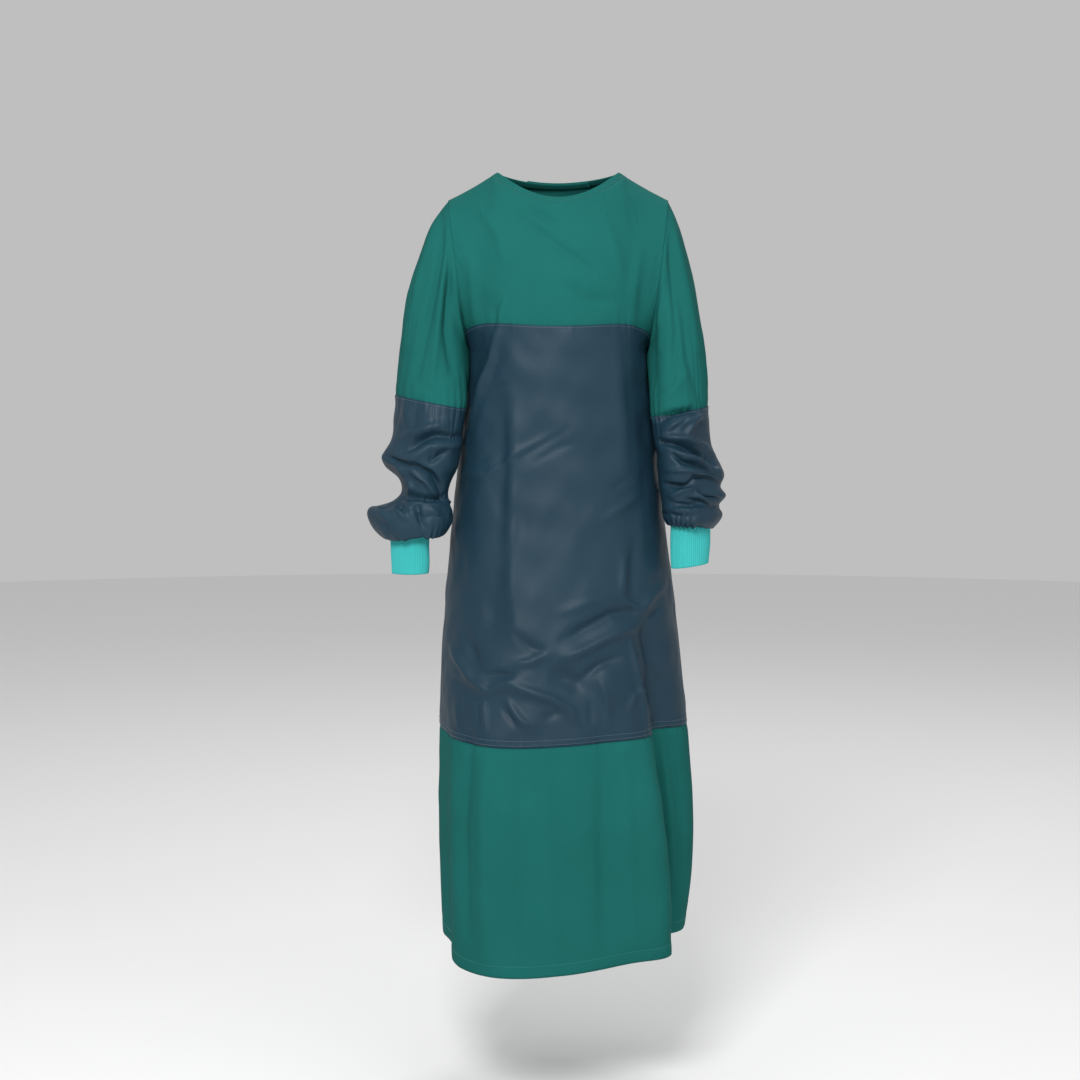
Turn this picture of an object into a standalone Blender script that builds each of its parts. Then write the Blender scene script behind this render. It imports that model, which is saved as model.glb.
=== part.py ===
"""Surgical gown, worn and hollow: every cut piece of cloth is its own thin closed wall.

The gown hangs from the shoulders. The origin is midway between the two neck points, where the
shoulders carry it: +Z is up, the front faces -Y and the wearer's left is +X.

The body of the gown is one surface of two parameters. "turn" goes round the wearer, from -90
degrees at the right side seam, through 0 at the centre front, 90 at the left side seam and 180 at
the centre back. "down" is 0 on the shoulder seam and neckline, 1 at the underarm and 2 at the hem.
The pieces are patches of that surface, and the sleeves start on its armholes.
"""
import math

import bpy
import numpy as np

# ---- driving dimensions, in metres and degrees ----------------------------------------------
WALL = 0.0015                 # thickness of the cloth
SEAM_GAP = 0.0003             # between two pieces that are sewn together
FLUSH_COSINE = 0.3            # pieces whose faces turn less than this at a seam lie flush there
LIFT = 0.0005                 # clear space under a tape that lies on the cloth

UNDERARM_HEIGHT = -0.285
SKIRT_SEAM_HEIGHT = -0.884    # lower edge of the water-repellent panel
HEM_HEIGHT = -1.230
HEM_DROP = 0.016              # the hem hangs this much lower over the leading leg
LEG_TURN = -20.0              # turn of the leading leg

NECK_HALF_WIDTH = 0.097
NECK_DEPTH_FRONT = 0.082      # from the shoulder line forward to the neckline
NECK_DEPTH_BACK = 0.062
NECK_DIP_FRONT = 0.046        # the neckline lies this far under the neck points
NECK_DIP_BACK = 0.012
BINDING_WIDTH = 0.011
BINDING_THICKNESS = 0.0019
NECK_TURN = 54.0              # turn of the cloth's column that starts at the neck point
# The bound edge spreads down the cloth: shares of its width that go sideways, forward and down,
# and the share that goes further down in the middle
NECK_SPREAD = {"sideways": 0.85, "forward": 0.75, "down": 0.5, "down_middle": 0.15}

SHOULDER_X = 0.176            # top of the armhole
SHOULDER_HEIGHT = -0.044
SHOULDER_SAG = 0.001          # the shoulder seam hangs this far under a straight line
UNDERARM_X = 0.143
ARMHOLE_DEPTH = 0.084         # the armhole's half width, front to back
ARMHOLE_SOFTNESS = 1.0        # how soon the cloth inside the armhole's edge rounds off its ends
ARMHOLE_PULL = (2.2, 5.2)     # how near to the edge the cloth is drawn out, at the top and bottom

# Share of the armhole above the chest seam, which dips towards the armholes
SEAM_SHARE = {"centre": 0.739, "right": 0.764, "left": 0.805}

# Half widths and depths of the body under the arms: a row for each level
BODY_COLUMNS = ("height", "right", "left", "front", "back")
BODY_ROWS = (
    (-0.285, 0.143, 0.143, 0.142, 0.118),
    (-0.387, 0.153, 0.154, 0.143, 0.112),
    (-0.525, 0.168, 0.169, 0.150, 0.117),
    (-0.700, 0.183, 0.191, 0.163, 0.134),
    (-0.816, 0.188, 0.204, 0.172, 0.144),
    (-0.930, 0.191, 0.215, 0.180, 0.152),
    (-1.050, 0.193, 0.223, 0.189, 0.160),
    (-1.150, 0.191, 0.221, 0.197, 0.166),
    (-1.238, 0.187, 0.211, 0.203, 0.170),
)
SQUARENESS = 2.3              # exponent of the body's superellipse sections

# Standing folds. Columns: the height where each starts, its turn there and at the hem, its half
# width in degrees, and how far it stands out (or in, where negative) at the hem
FOLD_ROWS = (
    (-0.50, -20.0, -24.0, 40.0, 0.044),      # over the leading leg
    (-0.66, 28.0, 43.0, 13.0, 0.024),        # ridge of the deep fold
    (-0.66, 44.0, 69.0, 13.0, -0.060),       # valley behind that ridge
    (-0.80, -62.0, -66.0, 15.0, -0.020),
    (-0.70, 118.0, 122.0, 15.0, 0.014),
    (-0.60, 143.0, 146.0, 14.0, -0.014),
    (-0.75, 168.0, 170.0, 15.0, 0.012),
    (-0.60, 196.0, 198.0, 15.0, -0.013),
    (-0.70, 224.0, 222.0, 16.0, 0.016),
    (-0.80, 248.0, 246.0, 12.0, -0.010),
)
FOLD_GROWTH = 1.35            # a fold grows this much faster than its way to the hem goes

# The left back panel laps over the right one
LAP_HALF = 18.0               # half of the lap, in degrees of turn
LAP_RISE = 0.0029             # the upper lap's outer face stands this far out
LAP_RISE_START = 118.0        # turn where the upper lap begins to stand out
LAP_RISE_END = 140.0

# Sleeve sections from the shoulder to the cuff seam. Columns: x, y and z of the sleeve's outer
# edge, on the wearer's left, then x, y and z of its inner edge, then half its depth
UPPER_SLEEVE_ROWS = {
    "right": (
        (0.203, 0.000, -0.083, 0.1459, -0.004, -0.296, 0.086),
        (0.223, -0.002, -0.135, 0.1459, -0.016, -0.306, 0.084),
        (0.244, -0.006, -0.195, 0.1464, -0.030, -0.318, 0.079),
        (0.252, -0.012, -0.255, 0.1469, -0.044, -0.335, 0.074),
        (0.257, -0.019, -0.308, 0.1479, -0.056, -0.355, 0.070),
        (0.261, -0.027, -0.354, 0.1490, -0.066, -0.376, 0.067),
    ),
    "left": (
        (0.193, 0.000, -0.083, 0.1458, -0.004, -0.296, 0.086),
        (0.209, -0.002, -0.137, 0.1456, -0.016, -0.308, 0.084),
        (0.223, -0.006, -0.200, 0.1470, -0.030, -0.323, 0.079),
        (0.234, -0.012, -0.262, 0.1486, -0.044, -0.342, 0.074),
        (0.241, -0.019, -0.318, 0.1494, -0.056, -0.364, 0.070),
        (0.241, -0.027, -0.372, 0.1497, -0.066, -0.388, 0.067),
    ),
}
LOWER_SLEEVE_ROWS = {
    "right": (
        (0.262, -0.034, -0.390, 0.1501, -0.074, -0.404, 0.065),
        (0.265, -0.040, -0.425, 0.1529, -0.078, -0.430, 0.064),
        (0.284, -0.045, -0.453, 0.1557, -0.081, -0.451, 0.065),
        (0.275, -0.049, -0.466, 0.1595, -0.083, -0.469, 0.062),
        (0.252, -0.053, -0.485, 0.1673, -0.084, -0.486, 0.055),
        (0.251, -0.058, -0.509, 0.1740, -0.085, -0.508, 0.052),
        (0.272, -0.061, -0.523, 0.1720, -0.086, -0.522, 0.056),
        (0.301, -0.065, -0.538, 0.1681, -0.087, -0.540, 0.060),
        (0.292, -0.069, -0.568, 0.1700, -0.088, -0.560, 0.058),
        (0.271, -0.072, -0.582, 0.1856, -0.088, -0.577, 0.048),
        (0.265, -0.073, -0.570, 0.2031, -0.088, -0.568, 0.034),
    ),
    "left": (
        (0.242, -0.033, -0.407, 0.1499, -0.072, -0.415, 0.065),
        (0.244, -0.038, -0.435, 0.1536, -0.075, -0.436, 0.063),
        (0.259, -0.042, -0.461, 0.1555, -0.077, -0.457, 0.063),
        (0.266, -0.045, -0.481, 0.1573, -0.079, -0.477, 0.061),
        (0.260, -0.048, -0.500, 0.1592, -0.080, -0.495, 0.055),
        (0.268, -0.051, -0.513, 0.1611, -0.081, -0.510, 0.057),
        (0.256, -0.054, -0.528, 0.1630, -0.082, -0.523, 0.053),
        (0.261, -0.057, -0.546, 0.1653, -0.083, -0.538, 0.054),
        (0.250, -0.060, -0.563, 0.1687, -0.084, -0.551, 0.050),
        (0.244, -0.062, -0.567, 0.1731, -0.084, -0.558, 0.042),
        (0.242, -0.063, -0.556, 0.1779, -0.084, -0.552, 0.033),
    ),
}
CUFF_ROWS = {
    "right": (
        (0.266, -0.075, -0.584, 0.2035, -0.089, -0.583, 0.033),
        (0.265, -0.080, -0.610, 0.2043, -0.092, -0.609, 0.032),
        (0.263, -0.085, -0.636, 0.2055, -0.096, -0.635, 0.031),
    ),
    "left": (
        (0.242, -0.065, -0.575, 0.1779, -0.085, -0.576, 0.033),
        (0.241, -0.070, -0.597, 0.1781, -0.088, -0.602, 0.032),
        (0.239, -0.075, -0.620, 0.1788, -0.092, -0.628, 0.031),
    ),
}

# Ties: each is a flat tape sewn down at one end, swollen into half a knot, with its tail hanging
TAPE_WIDTH = 0.011
TAPE_THICKNESS = 0.0014
KNOT_WIDTH = 0.013
KNOT_THICKNESS = 0.008
KNOT_FROM_EDGE = 0.012        # from the upper lap's edge to the middle of the knot
# Columns: name, height of the knot, length of the tail
TIE_ROWS = (
    ("neck", -0.050, 0.130),
    ("waist", -0.520, 0.210),
)
# Route of a tape from its sewn end. Columns: how far it lies aside of the knot's middle, how far
# below the knot, and the share of the tail that is added to that
ROUTE_ROWS = (
    (0.0520, -0.003, 0.0),
    (0.0360, -0.001, 0.0),
    (0.0190, 0.000, 0.0),
    (0.0085, 0.005, 0.0),
    (0.0070, 0.018, 0.0),
    (0.0095, 0.018, 0.3),
    (0.0150, 0.018, 0.7),
    (0.0170, 0.018, 1.0),
)
KNOT_ROW = 3                  # the row of the route that lies in the knot
KNOT_REACH = 0.8              # half the knot's length, in rows of the route
TAPE_TOP = 0.85               # the tape's upper face is this share of its width

# ---- how finely each piece is divided --------------------------------------------------------
FRONT_STEP = 6.0              # degrees of turn from column to column
BACK_STEP = 9.0
YOKE_ROWS = 6
ARMHOLE_PANEL_ROWS = 3        # rows of the front panel between the chest seam and the underarm
SIDE_PANEL_ROWS = 8           # rows of the front panel under the arms
SKIRT_ROWS = 5
JUST_BEHIND = 0.0001          # degrees past the left side seam at which the back panel starts
TAPE_STEPS = 18
TURN_STEP = 0.5               # degrees to each side of a point, to find the way the cloth faces
DOWN_STEP = 0.01
TIE_FROM_SIDE = 10.0          # no tie comes nearer than this to a side seam, in degrees
SEARCH_STEPS = 101            # trial places across and down the back, to find the one under a tie
SEARCH_ROUNDS = 6

# Colour and roughness of the three cloths
GREEN = ((0.020, 0.165, 0.145, 1.0), 0.85)
SLATE = ((0.030, 0.060, 0.085, 1.0), 0.5)
TURQUOISE = ((0.050, 0.500, 0.480, 1.0), 0.9)
SMOOTH_ANGLE = 50.0           # edges sharper than this, in degrees, stay sharp


# ---- curves and surfaces ---------------------------------------------------------------------
def column(rows, names, name):
    """One named column of a table, as an array."""
    return np.array([row[names.index(name)] for row in rows])


def smooth_curve(place, stations, values):
    """Cubic through a value at each rising station, with the mean slope of its neighbours."""
    slopes = np.gradient(values, stations)
    first = np.clip(np.searchsorted(stations, place) - 1, 0, len(stations) - 2)
    span = stations[first + 1] - stations[first]
    s = np.clip((place - stations[first]) / span, 0.0, 1.0)
    start = (1 + 2 * s) * (1 - s) ** 2 * values[first] + s * (1 - s) ** 2 * span * slopes[first]
    end = s * s * (3 - 2 * s) * values[first + 1] - s * s * (1 - s) * span * slopes[first + 1]
    return start + end


def unit(vectors):
    """Vectors of length one, along the last axis."""
    return vectors / np.linalg.norm(vectors, axis=-1, keepdims=True)


def ease(value):
    """Rises from 0 to 1 with level ends while the value goes from 0 to 1."""
    value = np.clip(value, 0.0, 1.0)
    return value * value * (3 - 2 * value)


def signed_power(value, power):
    """A power that keeps the sign, for superellipses."""
    return np.sign(value) * np.abs(value) ** power


def is_front(turn):
    """The front reaches to both side seams. The back starts just past the left one."""
    return turn <= 90.0


def side_share(turn):
    """-1 at the right side seam, 0 at centre front or centre back, 1 at the left side seam."""
    return np.where(is_front(turn), turn, 180.0 - turn) / 90.0


def neckline(swing, facing, spread):
    """Point of the neck: swing is -90 to 90 degrees from right to left, facing is -1 in front and
    1 behind, and spread is the distance down the cloth from the bound edge."""
    middle = np.cos(np.radians(swing))
    depth = np.where(facing < 0, NECK_DEPTH_FRONT, NECK_DEPTH_BACK)
    dip = np.where(facing < 0, NECK_DIP_FRONT, NECK_DIP_BACK)
    x = (NECK_HALF_WIDTH + NECK_SPREAD["sideways"] * spread) * np.sin(np.radians(swing))
    y = facing * (depth + NECK_SPREAD["forward"] * spread) * middle
    z = -dip * middle ** 2 - spread * (NECK_SPREAD["down"] + NECK_SPREAD["down_middle"] * middle)
    return np.stack([x, y, z], axis=-1)


def top_edge(turn):
    """Upper edge of the body: the neckline under its binding, then the shoulder seam."""
    share = side_share(turn)
    facing = np.where(is_front(turn), -1.0, 1.0)
    neck_share = NECK_TURN / 90.0
    swing = np.clip(share / neck_share, -1.0, 1.0) * 90.0
    neck = neckline(swing, facing, BINDING_WIDTH)
    along = np.clip((np.abs(share) - neck_share) / (1.0 - neck_share), 0.0, 1.0)[..., None]
    shoulder = np.stack([np.sign(share) * SHOULDER_X, 0 * share, SHOULDER_HEIGHT + 0 * share], axis=-1)
    sag = np.zeros_like(neck)
    sag[..., 2] = SHOULDER_SAG * np.sin(math.pi * along[..., 0])
    return neck * (1.0 - along) + shoulder * along - sag


def folded(turn, height):
    """How far the standing folds move the cloth outwards at a turn and a height."""
    reach = np.zeros(np.broadcast(turn, height).shape)
    for start, turn_start, turn_hem, half_width, at_hem in FOLD_ROWS:
        grown = np.clip((start - height) / (start - HEM_HEIGHT), 0.0, 1.0)
        middle = turn_start + (turn_hem - turn_start) * grown
        away = (turn - middle + 180.0) % 360.0 - 180.0
        reach = reach + at_hem * ease(FOLD_GROWTH * grown) * np.exp(-(away / half_width) ** 2)
    return reach


def hanging_surface(turn, height):
    """Cloth under the arms: a superellipse section at each height, moved by the folds."""
    stations = column(BODY_ROWS, BODY_COLUMNS, "height")[::-1]
    size = {}
    for name in BODY_COLUMNS[1:]:
        size[name] = smooth_curve(height, stations, column(BODY_ROWS, BODY_COLUMNS, name)[::-1])
    across = np.sin(np.radians(turn))
    forward = np.cos(np.radians(turn))
    half_width = np.where(across < 0, size["right"], size["left"])
    half_depth = np.where(forward > 0, size["front"], size["back"])
    x = half_width * signed_power(across, 2 / SQUARENESS)
    y = -half_depth * signed_power(forward, 2 / SQUARENESS)
    outward = unit(np.stack([across / half_width, -forward / half_depth], axis=-1))
    reach = folded(turn, height)
    lower = (UNDERARM_HEIGHT - height) / (UNDERARM_HEIGHT - HEM_HEIGHT)
    near_leg = np.clip(np.cos(np.radians(turn - LEG_TURN)), 0.0, 1.0) ** 4
    z = height - HEM_DROP * ease(lower) * near_leg
    return np.stack([x + reach * outward[..., 0], y + reach * outward[..., 1], z], axis=-1)


def soft_top(turn):
    """The top edge's distance from the shoulder line without its corner at the neck point."""
    depth = np.where(is_front(turn), -NECK_DEPTH_FRONT, NECK_DEPTH_BACK)
    return depth * np.cos(math.pi / 2 * side_share(turn)) ** 2


def shoulder_surface(turn, down):
    """Cloth from the shoulders to the underarm level: each column falls on a quarter ellipse from
    the top edge, and towards the sides it is drawn out to the ellipse of the armhole."""
    fall = (1.0 - np.cos(math.pi * down)) / 2.0
    round_out = np.sqrt(fall * (2.0 - fall))
    top = top_edge(turn)
    bottom = hanging_surface(turn, UNDERARM_HEIGHT + 0 * turn)
    point = top + (bottom - top) * fall[..., None]
    soft = soft_top(turn)
    point[..., 1] = soft + (bottom[..., 1] - soft) * round_out
    point[..., 1] += (top[..., 1] - soft) * (1.0 - round_out) ** 3
    facing = np.where(is_front(turn), -1.0, 1.0)
    side = np.abs(side_share(turn))
    bulge = np.clip(4.0 * fall * (1.0 - fall), 0.0, 1.0) ** (0.5 + ARMHOLE_SOFTNESS * (1.0 - side))
    at_top, at_bottom = ARMHOLE_PULL
    near_edge = side ** (at_top + (at_bottom - at_top) * fall ** 3)
    point[..., 1] += facing * ARMHOLE_DEPTH * bulge * near_edge
    return point


def gown_surface(turn, down):
    """Outer face of the gown's body at a turn in degrees and a place from shoulder to hem."""
    turn, down = np.broadcast_arrays(np.asarray(turn, float), np.asarray(down, float))
    lower = np.clip(down - 1.0, 0.0, 1.0)
    height = UNDERARM_HEIGHT + (HEM_HEIGHT - UNDERARM_HEIGHT) * lower
    above = shoulder_surface(turn, np.clip(down, 0.0, 1.0))
    below = hanging_surface(turn, height)
    return np.where((down <= 1.0)[..., None], above, below)


def outward_of(turn, down):
    """Unit normal of the gown's surface, from steps to both sides of the point."""
    round_it = gown_surface(turn + TURN_STEP, down) - gown_surface(turn - TURN_STEP, down)
    low = np.clip(down + DOWN_STEP, 0.0, 2.0)
    high = np.clip(down - DOWN_STEP, 0.0, 2.0)
    return unit(np.cross(gown_surface(turn, low) - gown_surface(turn, high), round_it))


def upper_lap(turn, down):
    """The body's surface, moved out where the left back panel lies over the right one."""
    turn, down = np.broadcast_arrays(np.asarray(turn, float), np.asarray(down, float))
    rise = LAP_RISE * ease((turn - LAP_RISE_START) / (LAP_RISE_END - LAP_RISE_START))
    return gown_surface(turn, down) + outward_of(turn, down) * rise[..., None]


# ---- pieces of cloth -------------------------------------------------------------------------
class Cloth:
    """One cut piece: a grid of points on its outer face, and the way its wall faces there."""

    def __init__(self, name, points, finish, closed=False, wall=WALL):
        self.name = name
        self.points = points.copy()
        self.finish = finish
        self.closed = closed
        self.wall = wall
        self.moved = np.zeros_like(points)
        self.normals = self.outward()

    def outward(self):
        """Normals of the grid, from the steps to the neighbouring points."""
        down = np.gradient(self.points, axis=0)
        if self.closed:
            across = np.roll(self.points, -1, axis=1) - np.roll(self.points, 1, axis=1)
        else:
            across = np.gradient(self.points, axis=1)
        return unit(np.cross(down, across))


def sew(first, first_edge, first_next, second, second_edge, second_next):
    """Move two edges that share their points half a seam gap apart, and give them one normal where
    both faces look the same way. Each edge is an index into its grid, with the index of the line
    of points beside it."""
    into_first = unit(first.points[first_next] - first.points[first_edge])
    into_second = unit(second.points[second_next] - second.points[second_edge])
    along = unit(np.gradient(first.points[first_edge], axis=0))
    apart = into_second - into_first
    apart = unit(apart - along * np.sum(apart * along, axis=-1, keepdims=True)) * SEAM_GAP / 2
    first.moved[first_edge] -= apart
    second.moved[second_edge] += apart
    ours = first.normals[first_edge]
    theirs = second.normals[second_edge]
    alike = np.sum(ours * theirs, axis=-1, keepdims=True) > FLUSH_COSINE
    shared = unit(np.where(alike, ours + theirs, 1.0))
    first.normals[first_edge] = np.where(alike, shared, ours)
    second.normals[second_edge] = np.where(alike, shared, theirs)


def grid_faces(rows, columns, closed, start, flipped):
    """Quads between neighbouring points of a grid whose first point has index start."""
    r, c = np.meshgrid(np.arange(rows - 1), np.arange(columns if closed else columns - 1), indexing="ij")
    right = (c + 1) % columns
    corners = [r * columns + c, (r + 1) * columns + c, (r + 1) * columns + right, r * columns + right]
    if flipped:
        corners.reverse()
    return np.stack([start + corner.ravel() for corner in corners], axis=-1)


def rim_faces(outer, inner):
    """Quads that join a line of outer points to the same line of inner points."""
    return np.stack([outer[:-1], outer[1:], inner[1:], inner[:-1]], axis=-1)


def build_wall(cloth, collection):
    """Closed wall of a piece: its outer face, its inner face and the cut edges between them. The
    sections are unlike each other, so the faces are lofted here instead of by Solidify, which
    could not give both sides of a seam the same edge."""
    rows, columns = cloth.points.shape[:2]
    outer = cloth.points + cloth.moved
    inner = outer - cloth.normals * cloth.wall
    count = rows * columns
    index = np.arange(count).reshape(rows, columns)
    faces = [
        grid_faces(rows, columns, cloth.closed, 0, False),
        grid_faces(rows, columns, cloth.closed, count, True),
    ]
    if cloth.closed:
        top = np.append(index[0], index[0, 0])
        bottom = np.append(index[-1], index[-1, 0])
    else:
        top, bottom = index[0], index[-1]
        faces.append(rim_faces(index[::-1, 0], index[::-1, 0] + count))
        faces.append(rim_faces(index[:, -1], index[:, -1] + count))
    faces.append(rim_faces(top, top + count))
    faces.append(rim_faces(bottom[::-1], bottom[::-1] + count))
    mesh = bpy.data.meshes.new(cloth.name)
    points = np.concatenate([outer.reshape(-1, 3), inner.reshape(-1, 3)])
    mesh.from_pydata(points.tolist(), [], np.concatenate(faces).tolist())
    mesh.shade_smooth()
    mesh.set_sharp_from_angle(angle=math.radians(SMOOTH_ANGLE))
    mesh.materials.append(cloth_material(cloth.name, cloth.finish))
    mesh.validate()
    cloth_object = bpy.data.objects.new(cloth.name, mesh)
    collection.objects.link(cloth_object)


def cloth_material(name, finish):
    """Plain material of a piece, from its colour and roughness."""
    colour, roughness = finish
    material = bpy.data.materials.new(name + "_cloth")
    material.use_nodes = True
    shader = material.node_tree.nodes["Principled BSDF"]
    shader.inputs["Base Color"].default_value = colour
    shader.inputs["Roughness"].default_value = roughness
    shader.inputs["Metallic"].default_value = 0.0
    return material


# ---- the gown's body -------------------------------------------------------------------------
def seam_share(turn):
    """Place of the chest seam, from the shoulder to the underarm, at each turn of the front."""
    edge = np.where(turn < 0, SEAM_SHARE["right"], SEAM_SHARE["left"])
    return SEAM_SHARE["centre"] + (edge - SEAM_SHARE["centre"]) * np.abs(turn / 90.0) ** 3


def armhole_shares(side):
    """Rows along an armhole: those of the yoke, then those of the panel down to the underarm."""
    seam = SEAM_SHARE[side]
    above = np.linspace(0.0, seam, YOKE_ROWS + 1)
    below = np.linspace(seam, 1.0, ARMHOLE_PANEL_ROWS + 1)
    return np.concatenate([above, below[1:]])


def side_rows():
    """Rows from the underarm to the hem, with one of them on the skirt seam."""
    whole = UNDERARM_HEIGHT - HEM_HEIGHT
    seam = 1.0 + (UNDERARM_HEIGHT - SKIRT_SEAM_HEIGHT) / whole
    above = np.linspace(1.0, seam, SIDE_PANEL_ROWS + 1)
    below = np.linspace(seam, 2.0, SKIRT_ROWS + 1)
    return above, below


def columns_between(first, last, step):
    """Evenly spaced turns from the first to the last, about a step apart."""
    return np.linspace(first, last, round((last - first) / step) + 1)


def back_columns(side):
    """Turns of a back panel's columns, from its side seam to its edge in the lap."""
    if side == "left":
        columns = columns_between(90.0, 180.0 + LAP_HALF, BACK_STEP)
        columns[0] += JUST_BEHIND
        return columns
    return columns_between(180.0 - LAP_HALF, 270.0, BACK_STEP)


def front_pieces():
    """The yoke, the water-repellent panel and the skirt of the front, which share their seams."""
    turn = columns_between(-90.0, 90.0, FRONT_STEP)[None, :]
    seam = seam_share(turn)
    side_above, side_below = side_rows()
    yoke_down = np.linspace(0.0, 1.0, YOKE_ROWS + 1)[:, None] * seam
    to_underarm = np.linspace(0.0, 1.0, ARMHOLE_PANEL_ROWS + 1)[:, None]
    panel_down = np.concatenate([seam + (1.0 - seam) * to_underarm, side_above[1:, None] + 0 * turn])
    skirt_down = side_below[:, None] + 0 * turn
    yoke = Cloth("front_yoke", gown_surface(turn, yoke_down), GREEN)
    panel = Cloth("front_panel", gown_surface(turn, panel_down), SLATE)
    skirt = Cloth("front_skirt", gown_surface(turn, skirt_down), GREEN)
    return yoke, panel, skirt


def back_piece(side):
    """One back panel, from its armhole and side seam to its edge in the lap."""
    side_above, side_below = side_rows()
    down = np.concatenate([armhole_shares(side), side_above[1:], side_below[1:]])[:, None]
    surface = upper_lap if side == "left" else gown_surface
    points = surface(back_columns(side)[None, :], down)
    return Cloth(f"back_panel_{side}", points, GREEN)


# ---- sleeves and cuffs -----------------------------------------------------------------------
def ring_shares(side):
    """Places round a sleeve, 0 and 2 at its outer edge and 1 at its inner edge, which meet the
    rows of the armhole."""
    half = armhole_shares(side)
    return np.concatenate([half, 2.0 - half[-2:0:-1]])


def sleeve_rings(side, rows):
    """A ring for each row of a table. The wearer's right sleeve runs round by the front and the
    left sleeve by the back, so that both face outwards."""
    sign = 1.0 if side == "left" else -1.0
    table = np.array(rows)[:, None, :]
    outer, inner, half_depth = table[..., 0:3], table[..., 3:6], table[..., 6]
    place = math.pi * ring_shares(side)[None, :]
    fall = (1.0 - np.cos(place)) / 2.0
    points = outer + (inner - outer) * fall[..., None]
    points[..., 0] *= sign
    points[..., 1] += sign * half_depth * np.sin(place)
    return points


def sleeve_pieces(side):
    """The upper sleeve, the water-repellent forearm and the knitted cuff of one arm."""
    first_row = (SHOULDER_X, 0.0, SHOULDER_HEIGHT, UNDERARM_X, 0.0, UNDERARM_HEIGHT, ARMHOLE_DEPTH)
    upper_rows = (first_row,) + UPPER_SLEEVE_ROWS[side]
    lower_rows = (UPPER_SLEEVE_ROWS[side][-1],) + LOWER_SLEEVE_ROWS[side]
    cuff_rows = (LOWER_SLEEVE_ROWS[side][-1],) + CUFF_ROWS[side]
    upper = Cloth(f"sleeve_upper_{side}", sleeve_rings(side, upper_rows), GREEN, closed=True)
    lower = Cloth(f"sleeve_lower_{side}", sleeve_rings(side, lower_rows), SLATE, closed=True)
    cuff = Cloth(f"cuff_{side}", sleeve_rings(side, cuff_rows), TURQUOISE, closed=True)
    return upper, lower, cuff


# ---- neck binding and tapes ------------------------------------------------------------------
def neck_columns():
    """Turns of the binding's columns, and how each lies on the body: from the under lap's edge,
    over the right shoulder, round the front and the left shoulder to the upper lap's edge."""
    under = columns_between(180.0 - LAP_HALF, 180.0 + NECK_TURN, BACK_STEP)[:-1]
    front = columns_between(-NECK_TURN, NECK_TURN, FRONT_STEP)
    over = columns_between(180.0 - NECK_TURN, 180.0 + LAP_HALF, BACK_STEP)[1:]
    return under, front, over


def neck_binding():
    """Bound edge of the neck: its lower line is the top edge of the yoke and the back panels, and
    its upper line is the neckline."""
    under, front, over = neck_columns()
    lower = np.concatenate([gown_surface(under, 0.0), gown_surface(front, 0.0), upper_lap(over, 0.0)])
    on_body = gown_surface(np.concatenate([under, front, over]), 0.0)
    turn = np.concatenate([under, front, over])
    swing = side_share(turn) * 90.0 / NECK_TURN * 90.0
    facing = np.where(is_front(turn), -1.0, 1.0)
    upper = neckline(swing, facing, 0.0) + lower - on_body
    return Cloth("neck_binding", np.stack([upper, lower]), GREEN, wall=BINDING_THICKNESS)


def on_back(x, height):
    """Turn and place down the gown of a point of the back, from its position seen from behind."""
    turns = np.linspace(90.0 + TIE_FROM_SIDE, 270.0 - TIE_FROM_SIDE, SEARCH_STEPS)
    downs = np.linspace(0.0, 2.0, SEARCH_STEPS)
    turn = 180.0
    for _ in range(SEARCH_ROUNDS):
        down = np.interp(-height, -gown_surface(turn, downs)[..., 2], downs)
        turn = np.interp(-x, -gown_surface(turns, down)[..., 0], turns)
    return turn, down


def tie_sections(side, height, tail):
    """Sections of one tape: its route on the back, and a four-sided flat tube along it. It lies on
    the upper lap, and the right tape's sewn end comes down to the under lap."""
    sign = 1.0 if side == "left" else -1.0
    edge_down = on_back(0.0, height)[1]
    middle = gown_surface(180.0 + LAP_HALF, edge_down)[0] + KNOT_FROM_EDGE
    aside, under_knot, share_of_tail = np.array(ROUTE_ROWS).T
    rows = np.arange(len(ROUTE_ROWS), dtype=float)
    place = np.linspace(0.0, rows[-1], TAPE_STEPS + 1)
    x = middle + sign * smooth_curve(place, rows, aside)
    z = height - smooth_curve(place, rows, under_knot + share_of_tail * tail)
    turn, down = np.array([on_back(*spot) for spot in zip(x, z)]).T
    sewn = ease(1.0 - place / (KNOT_ROW - 1)) if side == "right" else 0.0 * place
    fat = np.exp(-(np.abs(place - KNOT_ROW) / KNOT_REACH) ** 4)
    surface = upper_lap(turn, down)
    outward = outward_of(turn, down)
    along = unit(np.gradient(surface, axis=0))
    outward = unit(outward - along * np.sum(outward * along, axis=-1, keepdims=True))
    sideways = np.cross(along, outward)
    half_width = (TAPE_WIDTH + (KNOT_WIDTH - TAPE_WIDTH) * fat)[:, None] / 2
    thick = (TAPE_THICKNESS + (KNOT_THICKNESS - TAPE_THICKNESS) * fat)[:, None]
    base = surface + outward * (LIFT - LAP_RISE * sewn)[:, None]
    profile = ((-1.0, 0.0), (-TAPE_TOP, 1.0), (TAPE_TOP, 1.0), (1.0, 0.0))
    lines = [base + sideways * half_width * across + outward * thick * up for across, up in profile]
    return np.stack(lines, axis=1)


def build_tie(name, sections, collection):
    """Closed tube through a tape's sections, with a flat cap at each end."""
    steps, sides = sections.shape[:2]
    faces = grid_faces(steps, sides, True, 0, True).tolist()
    faces.append(list(range(sides - 1, -1, -1)))
    faces.append(list(range((steps - 1) * sides, steps * sides)))
    mesh = bpy.data.meshes.new(name)
    mesh.from_pydata(sections.reshape(-1, 3).tolist(), [], faces)
    mesh.materials.append(cloth_material(name, GREEN))
    mesh.validate()
    collection.objects.link(bpy.data.objects.new(name, mesh))


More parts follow.
